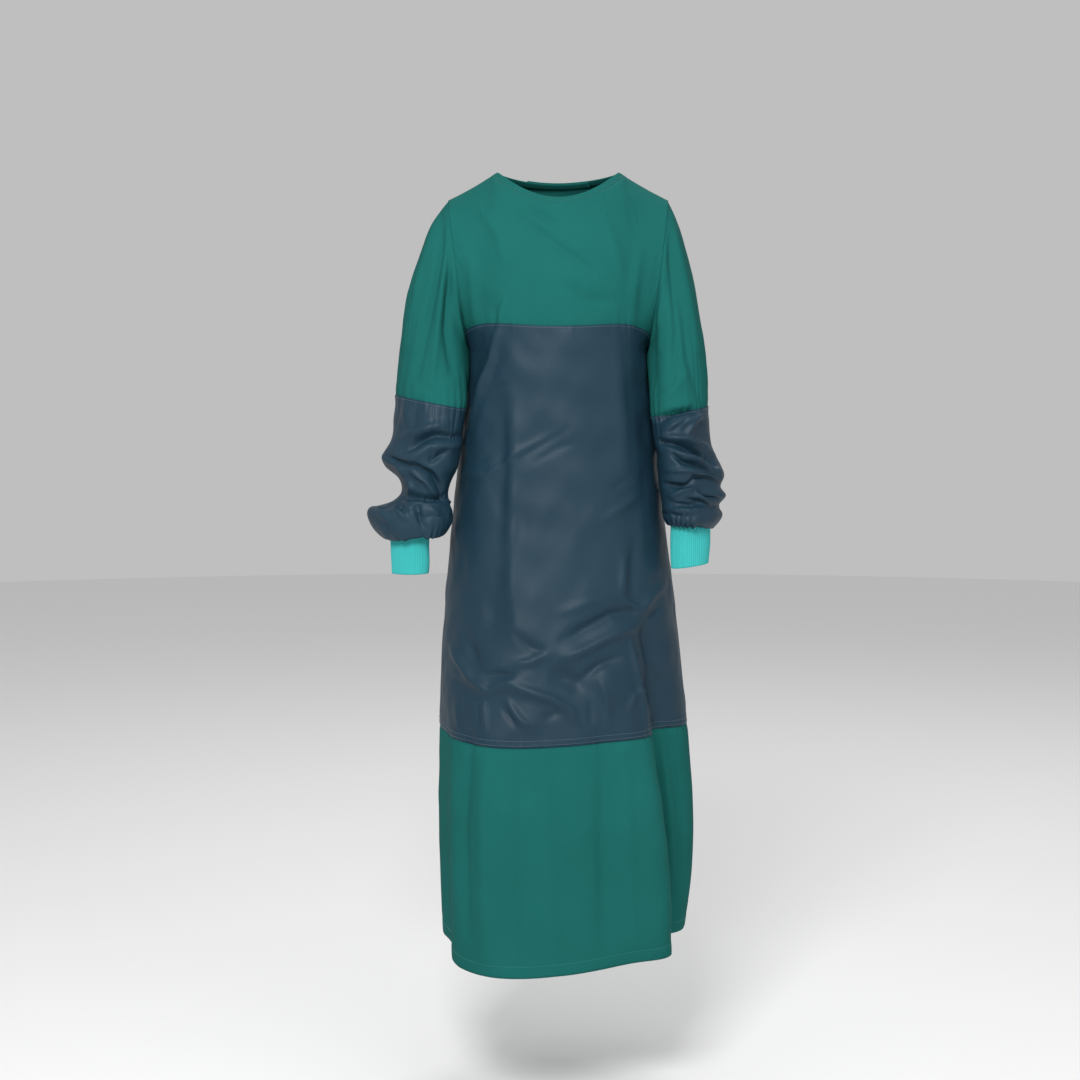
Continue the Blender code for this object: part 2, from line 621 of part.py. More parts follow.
# ---- assembly --------------------------------------------------------------------------------
def sew_front(yoke, panel, skirt):
    """Chest seam, and the seam between the panel and the skirt."""
    whole = slice(None)
    sew(yoke, (-1, whole), (-2, whole), panel, (0, whole), (1, whole))
    sew(panel, (-1, whole), (-2, whole), skirt, (0, whole), (1, whole))


def sew_sides(panel, skirt, backs):
    """Side seams, on the right at the front's first column and on the left at its last."""
    top = YOKE_ROWS + ARMHOLE_PANEL_ROWS
    low = top + SIDE_PANEL_ROWS
    seams = (("right", 0, 1, -1, -2), ("left", -1, -2, 0, 1))
    for side, front_edge, front_next, back_edge, back_next in seams:
        back = backs[side]
        panel_rows = slice(ARMHOLE_PANEL_ROWS, None)
        sew(panel, (panel_rows, front_edge), (panel_rows, front_next),
            back, (slice(top, low + 1), back_edge), (slice(top, low + 1), back_next))
        sew(skirt, (slice(None), front_edge), (slice(None), front_next),
            back, (slice(low, None), back_edge), (slice(low, None), back_next))


def sew_neck(binding, yoke, backs):
    """Join the binding's lower line to the top edges of the yoke and the two back panels."""
    under, front, over = neck_columns()
    shoulder_columns = round((90.0 - NECK_TURN) / FRONT_STEP)
    on_yoke = slice(shoulder_columns, shoulder_columns + len(front))
    on_binding = slice(len(under), len(under) + len(front))
    sew(yoke, (0, on_yoke), (1, on_yoke), binding, (1, on_binding), (0, on_binding))
    on_right = slice(0, len(under) + 1)
    sew(backs["right"], (0, on_right), (1, on_right), binding, (1, on_right), (0, on_right))
    on_left = slice(-len(over) - 1, None)
    sew(backs["left"], (0, on_left), (1, on_left), binding, (1, on_left), (0, on_left))


def open_shoulder_seam(cloth):
    """The front and the back meet on the shoulder line, in columns that differ, so each edge there
    moves half a gap from the line and its end stands upright."""
    facing = -1.0 if cloth.name == "front_yoke" else 1.0
    on_seam = np.abs(cloth.points[0, :, 1]) < SEAM_GAP / 10
    cloth.moved[0, on_seam, 1] += facing * SEAM_GAP / 2
    normal = cloth.normals[0, on_seam]
    normal[:, 1] = 0.0
    cloth.normals[0, on_seam] = unit(normal)


def sew_armhole(side, yoke, panel, back, sleeve):
    """Join a sleeve's first ring to the armhole. The ring starts at the shoulder. It comes down by
    the front on the right side, and by the back on the left side."""
    half = YOKE_ROWS + ARMHOLE_PANEL_ROWS
    coming_down = np.arange(0, half + 1)
    going_up = np.append(0, np.arange(2 * half - 1, half - 1, -1))
    front_ring, back_ring = (coming_down, going_up) if side == "right" else (going_up, coming_down)
    front_edge, front_next, back_edge, back_next = (0, 1, -1, -2) if side == "right" else (-1, -2, 0, 1)
    on_yoke = front_ring[: YOKE_ROWS + 1]
    on_panel = front_ring[YOKE_ROWS:]
    panel_rows = slice(0, ARMHOLE_PANEL_ROWS + 1)
    back_rows = slice(0, half + 1)
    sew(yoke, (slice(None), front_edge), (slice(None), front_next), sleeve, (0, on_yoke), (1, on_yoke))
    sew(panel, (panel_rows, front_edge), (panel_rows, front_next), sleeve, (0, on_panel), (1, on_panel))
    sew(back, (back_rows, back_edge), (back_rows, back_next), sleeve, (0, back_ring), (1, back_ring))


def clear_scene():
    """Remove whatever the open file holds."""
    for scene_object in list(bpy.data.objects):
        bpy.data.objects.remove(scene_object, do_unlink=True)


def main():
    """Cut the pieces, sew them edge to edge, then give each its wall."""
    clear_scene()
    collection = bpy.data.collections.new("surgical_gown")
    bpy.context.scene.collection.children.link(collection)
    yoke, panel, skirt = front_pieces()
    backs = {"left": back_piece("left"), "right": back_piece("right")}
    binding = neck_binding()
    pieces = [yoke, panel, skirt, backs["left"], backs["right"], binding]
    sew_front(yoke, panel, skirt)
    sew_sides(panel, skirt, backs)
    for cloth in (yoke, backs["left"], backs["right"]):
        open_shoulder_seam(cloth)
    sew_neck(binding, yoke, backs)
    for side in ("right", "left"):
        upper, lower, cuff = sleeve_pieces(side)
        sew_armhole(side, yoke, panel, backs[side], upper)
        sew(upper, (-1, slice(None)), (-2, slice(None)), lower, (0, slice(None)), (1, slice(None)))
        sew(lower, (-1, slice(None)), (-2, slice(None)), cuff, (0, slice(None)), (1, slice(None)))
        pieces += [upper, lower, cuff]
    for cloth in pieces:
        build_wall(cloth, collection)
    for place, height, tail in TIE_ROWS:
        for side in ("left", "right"):
            build_tie(f"{place}_tie_{side}", tie_sections(side, height, tail), collection)


main()
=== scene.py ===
# %% [markdown]
# # A worn surgical gown, hollow, as it hangs from the shoulders
#
# The imported model holds the gown's cut pieces as plain walls. This lesson gives each of them the
# look of real cloth. The body and the sleeves are worked out again on finer grids from the same
# sizes, settled as one sewn garment, creased and cut into their pieces. Metres, +Z up, the
# front faces -Y and the wearer's left is +X.

# %% The frame and its box
import math

import bpy
import numpy as np
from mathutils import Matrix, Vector


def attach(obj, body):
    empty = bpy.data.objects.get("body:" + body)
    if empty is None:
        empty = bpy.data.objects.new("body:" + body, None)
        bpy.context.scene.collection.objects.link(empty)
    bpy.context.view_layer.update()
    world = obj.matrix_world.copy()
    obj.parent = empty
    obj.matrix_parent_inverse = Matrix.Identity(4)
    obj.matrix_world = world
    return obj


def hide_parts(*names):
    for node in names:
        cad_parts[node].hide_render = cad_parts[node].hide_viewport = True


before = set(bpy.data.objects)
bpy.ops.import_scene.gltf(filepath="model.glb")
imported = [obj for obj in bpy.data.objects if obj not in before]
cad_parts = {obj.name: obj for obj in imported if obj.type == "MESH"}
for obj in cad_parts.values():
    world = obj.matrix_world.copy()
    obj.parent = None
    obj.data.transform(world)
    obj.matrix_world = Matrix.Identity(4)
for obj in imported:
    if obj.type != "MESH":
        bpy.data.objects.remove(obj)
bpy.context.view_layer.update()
print("CAD nodes:", sorted(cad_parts))

# %% [markdown]
# ## Camera, light and floor
#
# A gown this long is seen from about three metres, a little above its middle, with a lens of
# moderate length. The light is that of a small studio: a pale room, one broad lamp in front on the
# wearer's right and weaker ones on the other side, above and behind. A plain pale disc is the floor.
# The gown hangs above it, at the height at which a wearer would carry it.

# %% Camera
scene = bpy.context.scene
scene.view_settings.view_transform = "Standard"


def aim(thing, place, target):
    """Put a thing in its place and turn its -Z axis to the target."""
    thing.location = place
    thing.rotation_euler = (Vector(target) - Vector(place)).to_track_quat("-Z", "Y").to_euler()
    scene.collection.objects.link(thing)


camera = bpy.data.objects.new("camera", bpy.data.cameras.new("camera"))
camera.data.sensor_width = 36.0
camera.data.lens = 65.8
aim(camera, (-0.029, -3.2, -0.35), (-0.029, 0.0, -0.59))
scene.camera = camera

# %% Light and floor
ROOM_LIGHT = 0.52
CHEST = (0.0, 0.0, -0.40)     # where all lamps point
LAMP_ROWS = (
    # name, place, size, watts
    ("key", (-0.50, -2.6, 1.25), 1.0, 84.0),
    ("fill", (2.3, -2.6, 0.5), 1.6, 9.0),
    ("top", (0.3, -0.6, 2.4), 1.6, 8.0),
    ("behind", (0.7, 2.6, 2.5), 1.4, 38.0),
)
world = bpy.data.worlds.new("studio")
world.use_nodes = True
world.node_tree.nodes["Background"].inputs["Color"].default_value = (1.0, 1.0, 1.0, 1.0)
world.node_tree.nodes["Background"].inputs["Strength"].default_value = ROOM_LIGHT
scene.world = world
for lamp_name, place, size, watts in LAMP_ROWS:
    lamp = bpy.data.lights.new(lamp_name, "AREA")
    lamp.size = size
    lamp.energy = watts
    aim(bpy.data.objects.new(lamp_name, lamp), place, CHEST)

FLOOR_HEIGHT = -1.47
FLOOR_RADIUS = 9.0
FLOOR_CORNERS = 96
bpy.ops.mesh.primitive_circle_add(
    vertices=FLOOR_CORNERS, radius=FLOOR_RADIUS, fill_type="NGON", location=(0, 0, FLOOR_HEIGHT))
floor = bpy.context.object
floor.name = "floor"

# %% [markdown]
# ## Small tools
#
# A grid is an array of points, rows down the cloth and columns across it. These few functions
# give its lengths, its normals and a grid of twice the fineness.

# %% Tools for grids
def unit(vectors):
    """Each vector divided by its length."""
    return vectors / np.maximum(np.linalg.norm(vectors, axis=-1, keepdims=True), 1e-12)


def ease(value):
    """3t^2 - 2t^3 of t, which is the value held between 0 and 1."""
    value = np.clip(value, 0.0, 1.0)
    return value * value * (3 - 2 * value)


def slope(points, axis, closed):
    """Central differences along one axis, round the seam of a closed one."""
    if closed:
        return (np.roll(points, -1, axis=axis) - np.roll(points, 1, axis=axis)) / 2
    return np.gradient(points, axis=axis)


def normals_of(points, closed=False):
    """Cross product of the steps down and across, which looks out of the cloth."""
    return unit(np.cross(slope(points, 0, False), slope(points, 1, closed)))


def lengths(points, axis):
    """Distance along the grid's lines, 0 at their first point."""
    steps = np.linalg.norm(np.diff(points, axis=axis), axis=-1)
    start = np.zeros_like(np.take(steps, [0], axis=axis))
    return np.concatenate([start, np.cumsum(steps, axis=axis)], axis=axis)


def refine_lines(points, closed):
    """Between two rows a new one, (9 (b + c) - (a + d)) / 16 of its four neighbours."""
    if closed:
        padded = np.concatenate([points[-1:], points, points[:2]])
    else:
        padded = np.concatenate([2 * points[:1] - points[1:2], points, 2 * points[-1:] - points[-2:-1]])
    between = (9 * (padded[1:-2] + padded[2:-1]) - (padded[:-3] + padded[3:])) / 16
    fine = np.empty((len(points) + len(between),) + points.shape[1:])
    fine[0::2] = points
    fine[1::2] = between
    return fine


def refine(points, closed=False):
    """Grid of twice the fineness, through the same points."""
    down = refine_lines(points, False)
    return np.swapaxes(refine_lines(np.swapaxes(down, 0, 1), closed), 0, 1)


def smooth_curve(place, stations, values):
    """Cubic through a value at each rising station, with the mean slope of its neighbours."""
    slopes = np.gradient(values, stations)
    first = np.clip(np.searchsorted(stations, place) - 1, 0, len(stations) - 2)
    span = stations[first + 1] - stations[first]
    s = np.clip((place - stations[first]) / span, 0.0, 1.0)
    start = (1 + 2 * s) * (1 - s) ** 2 * values[first] + s * (1 - s) ** 2 * span * slopes[first]
    end = s * s * (3 - 2 * s) * values[first + 1] - s * s * (1 - s) * span * slopes[first + 1]
    return start + end

# %% [markdown]
# ## The body of the gown
#
# A gown is a wide tube that hangs from the shoulders. It could be modelled by hand in edit mode,
# but one formula keeps every seam in its place. "turn" goes round the wearer: -90 degrees at the
# right side seam, 0 at the centre front, 90 at the left side seam, 180 at the centre back. "down"
# is 0 at the neckline and shoulder seam, 1 at the underarm and 2 at the hem. The sizes are those
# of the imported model.

# %% Sizes of the body
UNDERARM_HEIGHT = -0.285
SKIRT_SEAM_HEIGHT = -0.884
HEM_HEIGHT = -1.230
HEM_DROP = 0.016
LEG_TURN = -20.0
NECK_HALF_WIDTH = 0.097
NECK_DEPTH_FRONT = 0.082
NECK_DEPTH_BACK = 0.062
NECK_DIP_FRONT = 0.046
NECK_DIP_BACK = 0.012
BINDING_WIDTH = 0.011
NECK_TURN = 54.0
NECK_SPREAD = {"sideways": 0.85, "forward": 0.75, "down": 0.5, "down_middle": 0.15}
SHOULDER_X = 0.176
SHOULDER_HEIGHT = -0.044
SHOULDER_SAG = 0.001
ARMHOLE_DEPTH = 0.084
ARMHOLE_SOFTNESS = 1.0
ARMHOLE_PULL = (2.2, 5.2)
SEAM_SHARE = {"centre": 0.739, "right": 0.764, "left": 0.805}
SQUARENESS = 2.3
# height, half widths on the right and the left, half depths in front and behind
BODY_ROWS = (
    (-0.285, 0.143, 0.143, 0.142, 0.118),
    (-0.387, 0.153, 0.154, 0.143, 0.112),
    (-0.525, 0.168, 0.169, 0.150, 0.117),
    (-0.700, 0.183, 0.191, 0.163, 0.134),
    (-0.816, 0.188, 0.204, 0.172, 0.144),
    (-0.930, 0.191, 0.215, 0.180, 0.152),
    (-1.050, 0.193, 0.223, 0.189, 0.160),
    (-1.150, 0.191, 0.221, 0.197, 0.166),
    (-1.238, 0.187, 0.211, 0.203, 0.170),
)
# standing folds: start, turn at the start, turn at the hem, half width in degrees, reach
FOLD_ROWS = (
    (-0.50, -20.0, -24.0, 40.0, 0.044),
    (-0.66, 28.0, 43.0, 13.0, 0.024),
    (-0.66, 44.0, 69.0, 13.0, -0.060),
    (-0.80, -62.0, -66.0, 15.0, -0.020),
    (-0.70, 118.0, 122.0, 15.0, 0.014),
    (-0.60, 143.0, 146.0, 14.0, -0.014),
    (-0.75, 168.0, 170.0, 15.0, 0.012),
    (-0.60, 196.0, 198.0, 15.0, -0.013),
    (-0.70, 224.0, 222.0, 16.0, 0.016),
    (-0.80, 248.0, 246.0, 12.0, -0.010),
)
FOLD_GROWTH = 1.35
LAP_HALF = 18.0
LAP_RISE = 0.0029
LAP_RISE_START = 118.0
LAP_RISE_END = 140.0
JUST_BEHIND = 1e-9            # degrees past the left side seam at which the back starts


# %% The hanging cloth
def is_front(turn):
    """The front reaches to both side seams."""
    return turn <= 90.0


def side_share(turn):
    """-1 at the right side seam, 0 at centre front or centre back, 1 at the left side seam."""
    return np.where(is_front(turn), turn, 180.0 - turn) / 90.0


def folded(turn, height):
    """Sum of bell curves in turn, each grown from nothing at its start to its reach at the hem."""
    reach = np.zeros(np.broadcast(turn, height).shape)
    for start, turn_start, turn_hem, half_width, at_hem in FOLD_ROWS:
        grown = np.clip((start - height) / (start - HEM_HEIGHT), 0.0, 1.0)
        middle = turn_start + (turn_hem - turn_start) * grown
        away = (turn - middle + 180.0) % 360.0 - 180.0
        reach = reach + at_hem * ease(FOLD_GROWTH * grown) * np.exp(-(away / half_width) ** 2)
    return reach


def hanging_surface(turn, height):
    """Superellipse at each height: x = a sin(turn)^(2/n), y = -b cos(turn)^(2/n), moved outwards
    by the standing folds."""
    table = np.array(BODY_ROWS)[::-1]
    right, left, front, back = (smooth_curve(height, table[:, 0], table[:, i]) for i in range(1, 5))
    across = np.sin(np.radians(turn))
    forward = np.cos(np.radians(turn))
    half_width = np.where(across < 0, right, left)
    half_depth = np.where(forward > 0, front, back)
    x = half_width * np.sign(across) * np.abs(across) ** (2 / SQUARENESS)
    y = -half_depth * np.sign(forward) * np.abs(forward) ** (2 / SQUARENESS)
    outward = unit(np.stack([across / half_width, -forward / half_depth], axis=-1))
    reach = folded(turn, height)
    lower = (UNDERARM_HEIGHT - height) / (UNDERARM_HEIGHT - HEM_HEIGHT)
    near_leg = np.clip(np.cos(np.radians(turn - LEG_TURN)), 0.0, 1.0) ** 4
    z = height - HEM_DROP * ease(lower) * near_leg
    return np.stack([x + reach * outward[..., 0], y + reach * outward[..., 1], z], axis=-1)


# %% The shoulders
def neckline(swing, facing, spread):
    """Half ellipse from neck point to neck point, dipping in the middle. Swing is -90 to 90
    degrees, facing -1 in front and 1 behind, spread the distance down the cloth from the edge."""
    middle = np.cos(np.radians(swing))
    depth = np.where(facing < 0, NECK_DEPTH_FRONT, NECK_DEPTH_BACK)
    dip = np.where(facing < 0, NECK_DIP_FRONT, NECK_DIP_BACK)
    x = (NECK_HALF_WIDTH + NECK_SPREAD["sideways"] * spread) * np.sin(np.radians(swing))
    y = facing * (depth + NECK_SPREAD["forward"] * spread) * middle
    z = -dip * middle ** 2 - spread * (NECK_SPREAD["down"] + NECK_SPREAD["down_middle"] * middle)
    return np.stack([x, y, z], axis=-1)


def top_edge(turn):
    """The neckline under its binding, then a straight shoulder seam that sags by a half sine."""
    share = side_share(turn)
    facing = np.where(is_front(turn), -1.0, 1.0)
    neck_share = NECK_TURN / 90.0
    neck = neckline(np.clip(share / neck_share, -1.0, 1.0) * 90.0, facing, BINDING_WIDTH)
    along = np.clip((np.abs(share) - neck_share) / (1.0 - neck_share), 0.0, 1.0)[..., None]
    shoulder = np.stack([np.sign(share) * SHOULDER_X, 0 * share, SHOULDER_HEIGHT + 0 * share], axis=-1)
    sag = np.zeros_like(neck)
    sag[..., 2] = SHOULDER_SAG * np.sin(math.pi * along[..., 0])
    return neck * (1.0 - along) + shoulder * along - sag


def shoulder_surface(turn, down):
    """Each column falls on a quarter ellipse from the top edge to the underarm level, and near
    the sides it is drawn out to the ellipse of the armhole."""
    fall = (1.0 - np.cos(math.pi * down)) / 2.0
    round_out = np.sqrt(fall * (2.0 - fall))
    top = top_edge(turn)
    bottom = hanging_surface(turn, UNDERARM_HEIGHT + 0 * turn)
    point = top + (bottom - top) * fall[..., None]
    depth = np.where(is_front(turn), -NECK_DEPTH_FRONT, NECK_DEPTH_BACK)
    soft = depth * np.cos(math.pi / 2 * side_share(turn)) ** 2
    point[..., 1] = soft + (bottom[..., 1] - soft) * round_out
    point[..., 1] += (top[..., 1] - soft) * (1.0 - round_out) ** 3
    facing = np.where(is_front(turn), -1.0, 1.0)
    side = np.abs(side_share(turn))
    bulge = np.clip(4.0 * fall * (1.0 - fall), 0.0, 1.0) ** (0.5 + ARMHOLE_SOFTNESS * (1.0 - side))
    at_top, at_bottom = ARMHOLE_PULL
    near_edge = side ** (at_top + (at_bottom - at_top) * fall ** 3)
    point[..., 1] += facing * ARMHOLE_DEPTH * bulge * near_edge
    return point


def gown_surface(turn, down):
    """The shoulders' surface for down up to 1 and the hanging cloth from 1 to 2."""
    turn, down = np.broadcast_arrays(np.asarray(turn, float), np.asarray(down, float))
    lower = np.clip(down - 1.0, 0.0, 1.0)
    height = UNDERARM_HEIGHT + (HEM_HEIGHT - UNDERARM_HEIGHT) * lower
    above = shoulder_surface(turn, np.clip(down, 0.0, 1.0))
    return np.where((down <= 1.0)[..., None], above, hanging_surface(turn, height))


# %% Grids of the front and the back
YOKE_ROWS = 34
UNDERARM_ROWS = 12
PANEL_ROWS = 64
SKIRT_ROWS = 38
HALF_COLUMNS = 80
ARMHOLE_ROWS = YOKE_ROWS + UNDERARM_ROWS
SKIRT_ROW = ARMHOLE_ROWS + PANEL_ROWS


def chest_seam(turn):
    """Place of the chest seam: a cubic dip from the centre to both armholes. Behind, the rows
    change over softly from one armhole's division to the other's."""
    edge = np.where(turn < 0, SEAM_SHARE["right"], SEAM_SHARE["left"])
    front = SEAM_SHARE["centre"] + (edge - SEAM_SHARE["centre"]) * np.abs(turn / 90.0) ** 3
    back = SEAM_SHARE["left"] + (SEAM_SHARE["right"] - SEAM_SHARE["left"]) * ease((turn - 90.0) / 180.0)
    return np.where(is_front(turn), front, back)


def rows_down(turn):
    """Places of all rows in each column, with one row on each seam. Down to the underarm the rows
    are level at the centre, and towards the armholes they run to the places of the sleeve's ring."""
    seam = chest_seam(turn)[None, :]
    skirt = 1.0 + (UNDERARM_HEIGHT - SKIRT_SEAM_HEIGHT) / (UNDERARM_HEIGHT - HEM_HEIGHT)
    yoke = np.linspace(0.0, 1.0, YOKE_ROWS, endpoint=False)[:, None] * seam
    share = np.linspace(0.0, 1.0, UNDERARM_ROWS, endpoint=False)[:, None]
    at_ring = seam + share * (1.0 - seam)
    seam_fall = (1.0 - np.cos(math.pi * seam)) / 2.0
    level = np.arccos(1.0 - 2.0 * (seam_fall + share * (1.0 - seam_fall))) / math.pi
    near_armhole = np.abs(side_share(turn))[None, :] ** 3
    under = level + (at_ring - level) * near_armhole
    panel = np.linspace(1.0, skirt, PANEL_ROWS, endpoint=False)[:, None] + 0 * seam
    lowest = np.linspace(skirt, 2.0, SKIRT_ROWS + 1)[:, None] + 0 * seam
    return np.concatenate([yoke, under, panel, lowest])


SOFT_ROUNDS = 24
SOFT_TOP_ROWS = 9.0           # rows over which the evening grows below the top edge
SOFT_LAST_ROWS = 8.0          # and fades above the underarm


def softened(grid):
    """Evens the cloth across its columns between the top edge and the underarm, where the corner
    at the neck point would run down it as a line."""
    rows = np.arange(grid.shape[0])[:, None, None]
    share = ease(rows / SOFT_TOP_ROWS) * ease((ARMHOLE_ROWS - rows) / SOFT_LAST_ROWS)
    even = grid.copy()
    for _ in range(SOFT_ROUNDS):
        even[:, 1:-1] = (even[:, :-2] + 2 * even[:, 1:-1] + even[:, 2:]) / 4
    return grid + (even - grid) * share


front_turn = np.linspace(-90.0, 90.0, HALF_COLUMNS + 1)
back_turn = np.linspace(90.0, 270.0, HALF_COLUMNS + 1)
back_turn[0] += JUST_BEHIND
front_grid = softened(gown_surface(front_turn[None, :], rows_down(front_turn)))
back_grid = softened(gown_surface(back_turn[None, :], rows_down(back_turn)))
print("front and back grids:", front_grid.shape, back_grid.shape)

# %% [markdown]
# ## Sleeves and cuffs
#
# A set-in sleeve is a tube whose first ring is the armhole itself. Each ring is half an ellipse in
# front and half behind, leaning from the sleeve's outer edge to its inner one. The forearm is cut
# too long for the arm, so it bags over the cuff, and its edges swing in and out down the table.

# %% Sizes of the sleeves
# x, y, z of the outer edge, x, y, z of the inner edge, half depth, on the wearer's left
SLEEVE_ROWS = {
    "right": (
        (0.176, 0.000, -0.044, 0.1430, 0.000, -0.285, 0.084),
        (0.203, 0.000, -0.083, 0.1459, -0.004, -0.296, 0.086),
        (0.223, -0.002, -0.135, 0.1459, -0.016, -0.306, 0.084),
        (0.244, -0.006, -0.195, 0.1464, -0.030, -0.318, 0.079),
        (0.252, -0.012, -0.255, 0.1469, -0.044, -0.335, 0.074),
        (0.257, -0.019, -0.308, 0.1479, -0.056, -0.355, 0.070),
        (0.261, -0.027, -0.354, 0.1490, -0.066, -0.376, 0.067),
        (0.262, -0.034, -0.390, 0.1501, -0.074, -0.404, 0.065),
        (0.265, -0.040, -0.425, 0.1529, -0.078, -0.430, 0.064),
        (0.284, -0.045, -0.453, 0.1557, -0.081, -0.451, 0.065),
        (0.275, -0.049, -0.466, 0.1595, -0.083, -0.469, 0.062),
        (0.252, -0.053, -0.485, 0.1673, -0.084, -0.486, 0.055),
        (0.251, -0.058, -0.509, 0.1740, -0.085, -0.508, 0.052),
        (0.272, -0.061, -0.523, 0.1720, -0.086, -0.522, 0.056),
        (0.301, -0.065, -0.538, 0.1681, -0.087, -0.540, 0.060),
        (0.292, -0.069, -0.568, 0.1700, -0.088, -0.560, 0.058),
        (0.271, -0.072, -0.582, 0.1856, -0.088, -0.577, 0.048),
        (0.265, -0.073, -0.570, 0.2031, -0.088, -0.568, 0.034),
    ),
    "left": (
        (0.176, 0.000, -0.044, 0.1430, 0.000, -0.285, 0.084),
        (0.193, 0.000, -0.083, 0.1458, -0.004, -0.296, 0.086),
        (0.209, -0.002, -0.137, 0.1456, -0.016, -0.308, 0.084),
        (0.223, -0.006, -0.200, 0.1470, -0.030, -0.323, 0.079),
        (0.234, -0.012, -0.262, 0.1486, -0.044, -0.342, 0.074),
        (0.241, -0.019, -0.318, 0.1494, -0.056, -0.364, 0.070),
        (0.241, -0.027, -0.372, 0.1497, -0.066, -0.388, 0.067),
        (0.242, -0.033, -0.407, 0.1499, -0.072, -0.415, 0.065),
        (0.244, -0.038, -0.435, 0.1536, -0.075, -0.436, 0.063),
        (0.259, -0.042, -0.461, 0.1555, -0.077, -0.457, 0.063),
        (0.266, -0.045, -0.481, 0.1573, -0.079, -0.477, 0.061),
        (0.260, -0.048, -0.500, 0.1592, -0.080, -0.495, 0.055),
        (0.268, -0.051, -0.513, 0.1611, -0.081, -0.510, 0.057),
        (0.256, -0.054, -0.528, 0.1630, -0.082, -0.523, 0.053),
        (0.261, -0.057, -0.546, 0.1653, -0.083, -0.538, 0.054),
        (0.250, -0.060, -0.563, 0.1687, -0.084, -0.551, 0.050),
        (0.244, -0.062, -0.567, 0.1731, -0.084, -0.558, 0.042),
        (0.242, -0.063, -0.556, 0.1779, -0.084, -0.552, 0.033),
    ),
}
FOREARM_ROW = 6               # the table's row on the seam between upper sleeve and forearm
CUFF_ROWS = {
    "right": (
        (0.265, -0.073, -0.570, 0.2031, -0.088, -0.568, 0.034),
        (0.266, -0.075, -0.584, 0.2035, -0.089, -0.583, 0.033),
        (0.265, -0.080, -0.610, 0.2043, -0.092, -0.609, 0.032),
        (0.263, -0.085, -0.636, 0.2055, -0.096, -0.635, 0.031),
    ),
    "left": (
        (0.242, -0.063, -0.556, 0.1779, -0.084, -0.552, 0.033),
        (0.242, -0.065, -0.575, 0.1779, -0.085, -0.576, 0.033),
        (0.241, -0.070, -0.597, 0.1781, -0.088, -0.602, 0.032),
        (0.239, -0.075, -0.620, 0.1788, -0.092, -0.628, 0.031),
    ),
}
SIDES = ("right", "left")
UPPER_RINGS = 36
FOREARM_RINGS = 48
CUFF_RINGS = 14


# %% Rings of the sleeves
def ring_shares(side):
    """Places round a sleeve, 0 and 2 at its outer edge and 1 at its inner edge."""
    seam = SEAM_SHARE[side]
    above = np.linspace(0.0, seam, YOKE_ROWS, endpoint=False)
    below = np.linspace(seam, 1.0, UNDERARM_ROWS + 1)
    half = np.concatenate([above, below])
    return np.concatenate([half, 2.0 - half[-2:0:-1]])


def even_places(rows, count):
    """Places in the table, so that the rings are equally far apart along the sleeve's middle."""
    table = np.array(rows)
    middle = (table[:, 0:3] + table[:, 3:6]) / 2
    outer_way = lengths(table[:, None, 0:3], 0)[:, 0]
    along = outer_way + lengths(middle[:, None], 0)[:, 0]
    return along, np.linspace(0.0, along[-1], count + 1)


def sleeve_rings(side, rows, count):
    """Ring = outer + (inner - outer)(1 - cos a)/2 with half the depth times sin a from front to
    back. The right sleeve runs round by the front and the left one by the back."""
    sign = 1.0 if side == "left" else -1.0
    stations, places = even_places(rows, count)
    table = np.stack([smooth_curve(places, stations, column) for column in np.array(rows).T], axis=-1)
    outer, inner, half_depth = table[:, None, 0:3], table[:, None, 3:6], table[:, None, 6]
    angle = math.pi * ring_shares(side)[None, :]
    fall = (1.0 - np.cos(angle)) / 2.0
    points = outer + (inner - outer) * fall[..., None]
    points[..., 0] *= sign
    points[..., 1] += sign * half_depth * np.sin(angle)
    return points


sleeve_grid = {}
cuff_grid = {}
for side in SIDES:
    upper = sleeve_rings(side, SLEEVE_ROWS[side][: FOREARM_ROW + 1], UPPER_RINGS)
    forearm = sleeve_rings(side, SLEEVE_ROWS[side][FOREARM_ROW:], FOREARM_RINGS)
    sleeve_grid[side] = np.concatenate([upper, forearm[1:]])
    cuff_grid[side] = sleeve_rings(side, CUFF_ROWS[side], CUFF_RINGS)
print("sleeve grids:", sleeve_grid["right"].shape, "cuffs:", cuff_grid["right"].shape)
